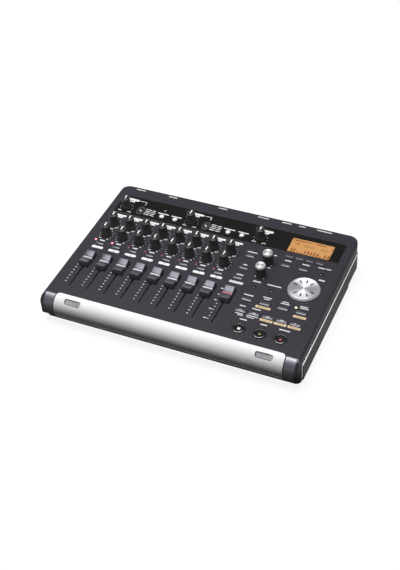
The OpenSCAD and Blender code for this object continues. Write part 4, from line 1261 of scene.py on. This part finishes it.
def stroke(x, up, wide, deep, corner=0.25, base=0.0):
    """One printed plate with round corners, its middle at a place on the deck."""
    place = on_deck(x, up, base - BELOW)
    bpy.ops.mesh.select_all(action="DESELECT")
    bpy.ops.mesh.primitive_plane_add(size=wide * MM, location=place, rotation=(LEAN, 0, 0))
    bpy.ops.transform.resize(value=(1, deep / wide, deep / wide), center_override=place)
    bpy.ops.mesh.bevel(offset=min(corner, 0.45 * min(wide, deep)) * MM, segments=2,
                       affect="VERTICES")
    extrude(on_deck(0, 0, INK + BELOW) - on_deck(0, 0, 0))


def printed(name, finish, marks, *arrays):
    """All the marks of one colour as one dressed piece, repeated by its arrays."""
    sheet = started(name, bpy.ops.object.add, type="MESH")
    bpy.ops.object.mode_set(mode="EDIT")
    for mark in marks:
        stroke(*mark)
    leave_edit()
    dress(sheet, finish, "case", "white_plastic")
    for count, step in arrays:
        repeated(sheet, count, step)
    return sheet


print_white, print_grey, print_dark, print_yellow, print_brown = (
    grained(f"print_{name}", colour, 0.5, (2500, 0.04, 0.06, 0.03, 0.02))
    for name, colour in (("white", (228, 228, 228)), ("grey", (206, 206, 208)),
                         ("dark", (60, 60, 64)), ("yellow", (214, 190, 150)),
                         ("brown", (152, 132, 100))))
print("ink is", INK, "mm high")

# %% Fader scales, knob dots and channel bars
FIRST_TICK, TICK_STEP, TICKS = 21.5, 4.69, 11
DOT_R, DOT, BIG_DOT = 7.8, 0.85, 1.2
BAR_ROW, BOX_ROW, DASH_ROW = 82.5, 141.3, 94.4
FIRST, EACH_CHANNEL = CHANNELS[0], (8, NEXT_CHANNEL)


def knob_dots(x, up, ends):
    """Marks for eleven dots round a knob, and for the legends about its turn."""
    dots = []
    for i in range(11):
        turn = math.radians(-150 + 30 * i)
        size = BIG_DOT if i in (0, 5, 10) else DOT
        dots.append((x + DOT_R * math.sin(turn), up + DOT_R * math.cos(turn), size, size,
                     0.45 * size))
    return dots + [(x + dx, up + dy, wide, 1.35) for dx, dy, wide in ends]


ticks = printed("fader_ticks", print_grey, [(FIRST - 7.05, FIRST_TICK, 1.7, 1.0)],
                (TICKS, on_deck(0, TICK_STEP) - on_deck(0, 0)), EACH_CHANNEL)
pan_ends = [(0.85, 11.1, 3.2), (4.9, -7.1, 1.6), (-4.9, -7.1, 1.6)]
effect_ends = [(5.45, -5.8, 3.8), (-5.9, -5.8, 3.2)]
printed("pan_dots", print_grey, knob_dots(FIRST, PAN_ROW, pan_ends), EACH_CHANNEL)
printed("effect_dots", print_grey, knob_dots(FIRST, EFFECT_ROW, effect_ends), EACH_CHANNEL)
for name, x in (("trim_dots_a", FIRST), ("trim_dots_b", CHANNELS[4]), ("level_dots", MASTER_X)):
    printed(name, print_grey, knob_dots(x, TRIM_ROW, [(-6.0, -6.4, 4.6), (6.2, -6.5, 4.6)]))

printed("channel_bars", print_white, [(FIRST, BAR_ROW, 13.5, 3.7, 1.2)], EACH_CHANNEL)
printed("effect_boxes", print_white, [(FIRST + 0.4, BOX_ROW, 14.0, 3.0, 0.7)] + [
    (FIRST + 0.9 + dx, BOX_ROW - 3.0, wide, 2.3, 0.4)
    for dx, wide in ((-2.6, 2.0), (-0.2, 1.8), (2.1, 2.0))], EACH_CHANNEL)
printed("effect_box_lines", print_grey, [
    (FIRST + 0.4 + dx, BOX_ROW, 1.5, 1.2, 0.2, INK) for dx in (-4.6, -2.2, 0.2, 2.6, 5.0)],
    EACH_CHANNEL)
printed("arm_dashes", print_white, [(FIRST + 0.2, DASH_ROW, 6.2, 1.5)], EACH_CHANNEL)
figures = [lettering(f"figure_{i + 1}", str(i + 1), x, BAR_ROW, 3.6, INK + 0.01, 0.02)
           for i, x in enumerate(CHANNELS)]
dress(joined("channel_figures", *figures), print_dark, "case", "white_plastic")
print("printed for each channel:", len(ticks.data.polygons), "faces of ticks")

# %% Labels
# Each label's place across and up the deck, its width and its depth.
LABELS = [
    (-122.6, 191.5, 11.7, 1.5), (-80.6, 191.5, 10.8, 1.5), (-16.9, 191.5, 10.8, 1.5),
    (33.1, 191.5, 12.8, 1.5), (61.7, 191.5, 11.4, 1.5), (80.3, 191.5, 8.0, 1.5),
    (106.3, 191.5, 17.7, 1.5), (-78.5, 159.9, 13.6, 1.7), (-61.65, 159.7, 12.6, 1.7),
    (4.5, 159.9, 13.6, 1.7), (21.35, 159.7, 12.6, 1.7), (-110.9, 172.4, 10.8, 0.8),
    (-105.6, 169.9, 0.8, 5.6), (-27.9, 172.4, 10.8, 0.8), (-22.6, 169.9, 0.8, 5.6),
    (43.1, 132.4, 11.4, 1.6), (43.1, 110.9, 4.6, 1.6), (43.6, 94.3, 7.4, 1.6),
    (44.1, 81.8, 15.8, 3.4), (68.7, 135.9, 3.2, 1.6), (69.0, 114.7, 3.2, 1.6),
    (69.5, 118.9, 1.6, 1.2), (59.9, 97.7, 1.8, 1.4), (69.5, 97.4, 1.8, 1.4),
    (64.85, 90.2, 9.0, 1.8), (84.8, 90.2, 15.8, 1.5), (85.0, 132.4, 7.8, 1.7),
    (105.2, 132.6, 8.2, 1.7), (122.9, 133.4, 7.8, 1.5), (130.6, 133.7, 5.6, 1.5),
    (129.1, 115.0, 6.8, 2.0), (64.3, 68.1, 10.6, 1.6), (84.4, 70.9, 9.8, 1.4),
    (84.7, 68.3, 6.4, 1.4), (104.6, 71.0, 7.0, 1.4), (104.9, 68.4, 9.6, 1.4),
    (125.0, 70.9, 8.4, 1.4), (125.9, 68.5, 9.2, 1.4), (64.4, 51.0, 6.8, 1.4),
    (79.7, 50.9, 9.4, 1.4), (64.7, 39.3, 8.8, 1.3), (66.6, 37.2, 6.0, 1.1),
    (79.3, 39.9, 12.6, 1.3), (77.6, 37.4, 9.0, 1.1), (72.3, 32.5, 7.8, 1.6),
    (94.8, 32.5, 7.2, 1.6), (117.6, 32.3, 12.0, 1.6),
]
MASTER_SCALE = [(33.5, 21.6, 3.6), (33.7, 35.7, 2.6), (33.7, 49.6, 2.6), (33.7, 58.6, 2.2),
                (33.7, 68.0, 3.0)]
marks = LABELS + [(x, up, wide, 1.3) for x, up, wide in MASTER_SCALE]
marks += [(MASTER_X - 6.2, FIRST_TICK + TICK_STEP * k, 1.5, 0.9) for k in range(TICKS)]
for side in (0, 4 * CHANNEL_PITCH):
    for row in range(4):
        marks.append((-97.6 + side, 161.2 - 2.9 * row, 6.8 - 0.6 * (row % 2), 1.15))
        marks.append((-90.6 + side, 161.0 - 2.9 * row, 4.8 + 0.6 * (row % 2), 1.15))
printed("labels", print_grey, marks)
print("labels:", len(LABELS))

# %% Label boxes and yellow bars
BOXES = ((-123.6, 170.7), (-40.6, 170.7), (45.4, 169.3))
# Each bar's place and width, and the middle and number of its dashes.
YELLOW_BARS = [(84.9, 55.6, 16.4, 84.8, 5), (125.4, 55.2, 13.9, 125.5, 4),
               (94.9, 38.9, 13.7, 95.0, 4), (110.1, 38.9, 13.7, 110.2, 3),
               (125.3, 38.9, 13.9, 125.4, 4)]
marks = []
for x, up in BOXES:
    marks.append((x, up + 1.5, 15.6, 3.4, 0.8))
    marks += [(x + dx, up - 1.9, part, 2.3, 0.4)
              for dx, part in ((-2.4, 2.2), (0.2, 2.0), (2.7, 2.2))]
printed("label_boxes", print_white, marks)
printed("label_box_lines", print_grey, [
    (x + dx, up + 1.5, 1.5, 1.3, 0.2, INK)
    for x, up in BOXES for dx in (-5.0, -2.5, 0.0, 2.5, 5.0)])
printed("yellow_bars", print_yellow, [
    (x, up, wide, 3.3, 0.5) for x, up, wide, _, _ in YELLOW_BARS])
printed("yellow_dashes", print_brown, [
    (x + 2.4 * (i - (count - 1) / 2), up, 1.5, 1.3, 0.2, INK)
    for _, up, _, x, count in YELLOW_BARS for i in range(count)])
print("label boxes:", len(BOXES), "yellow bars:", len(YELLOW_BARS))

# %% [markdown]
# ## Signs on the transport keys
# Small white arrows on the keys' tops show which way the tape would run: two on
# each of the first four keys and one on the last. They ride with the keys. Each
# arrow is a three-sided plate.

# %% Transport signs
ARROW_ROW, ARROW_LIFT, ARROW_STEP = 43.6, 1.18, 1.9
ARROWS = [(90, 2), (90, 2), (90, 2), (-90, 2), (-90, 1)]

signs = []
for i, (turn, count) in enumerate(ARROWS):
    x = COLUMNS[0] + TRANSPORT_PITCH * i - 0.9
    for j in range(count):
        home = on_deck(x + ARROW_STEP * j, ARROW_ROW, ARROW_LIFT)
        arrow = turned(f"arrow_{i}_{j}", [(1.05, -0.1), (1.05, 0.06)], 3, home)
        signs.append(settle(faced(arrow, turn)))
dress(joined("transport_signs", *signs), print_white, "transport_keys", "white_plastic")
print("transport signs:", len(signs))

# %% Sizes and finish
low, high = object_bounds()
print("visual box, mm:", [round(1000 * v, 1) for v in (*low, *high)])
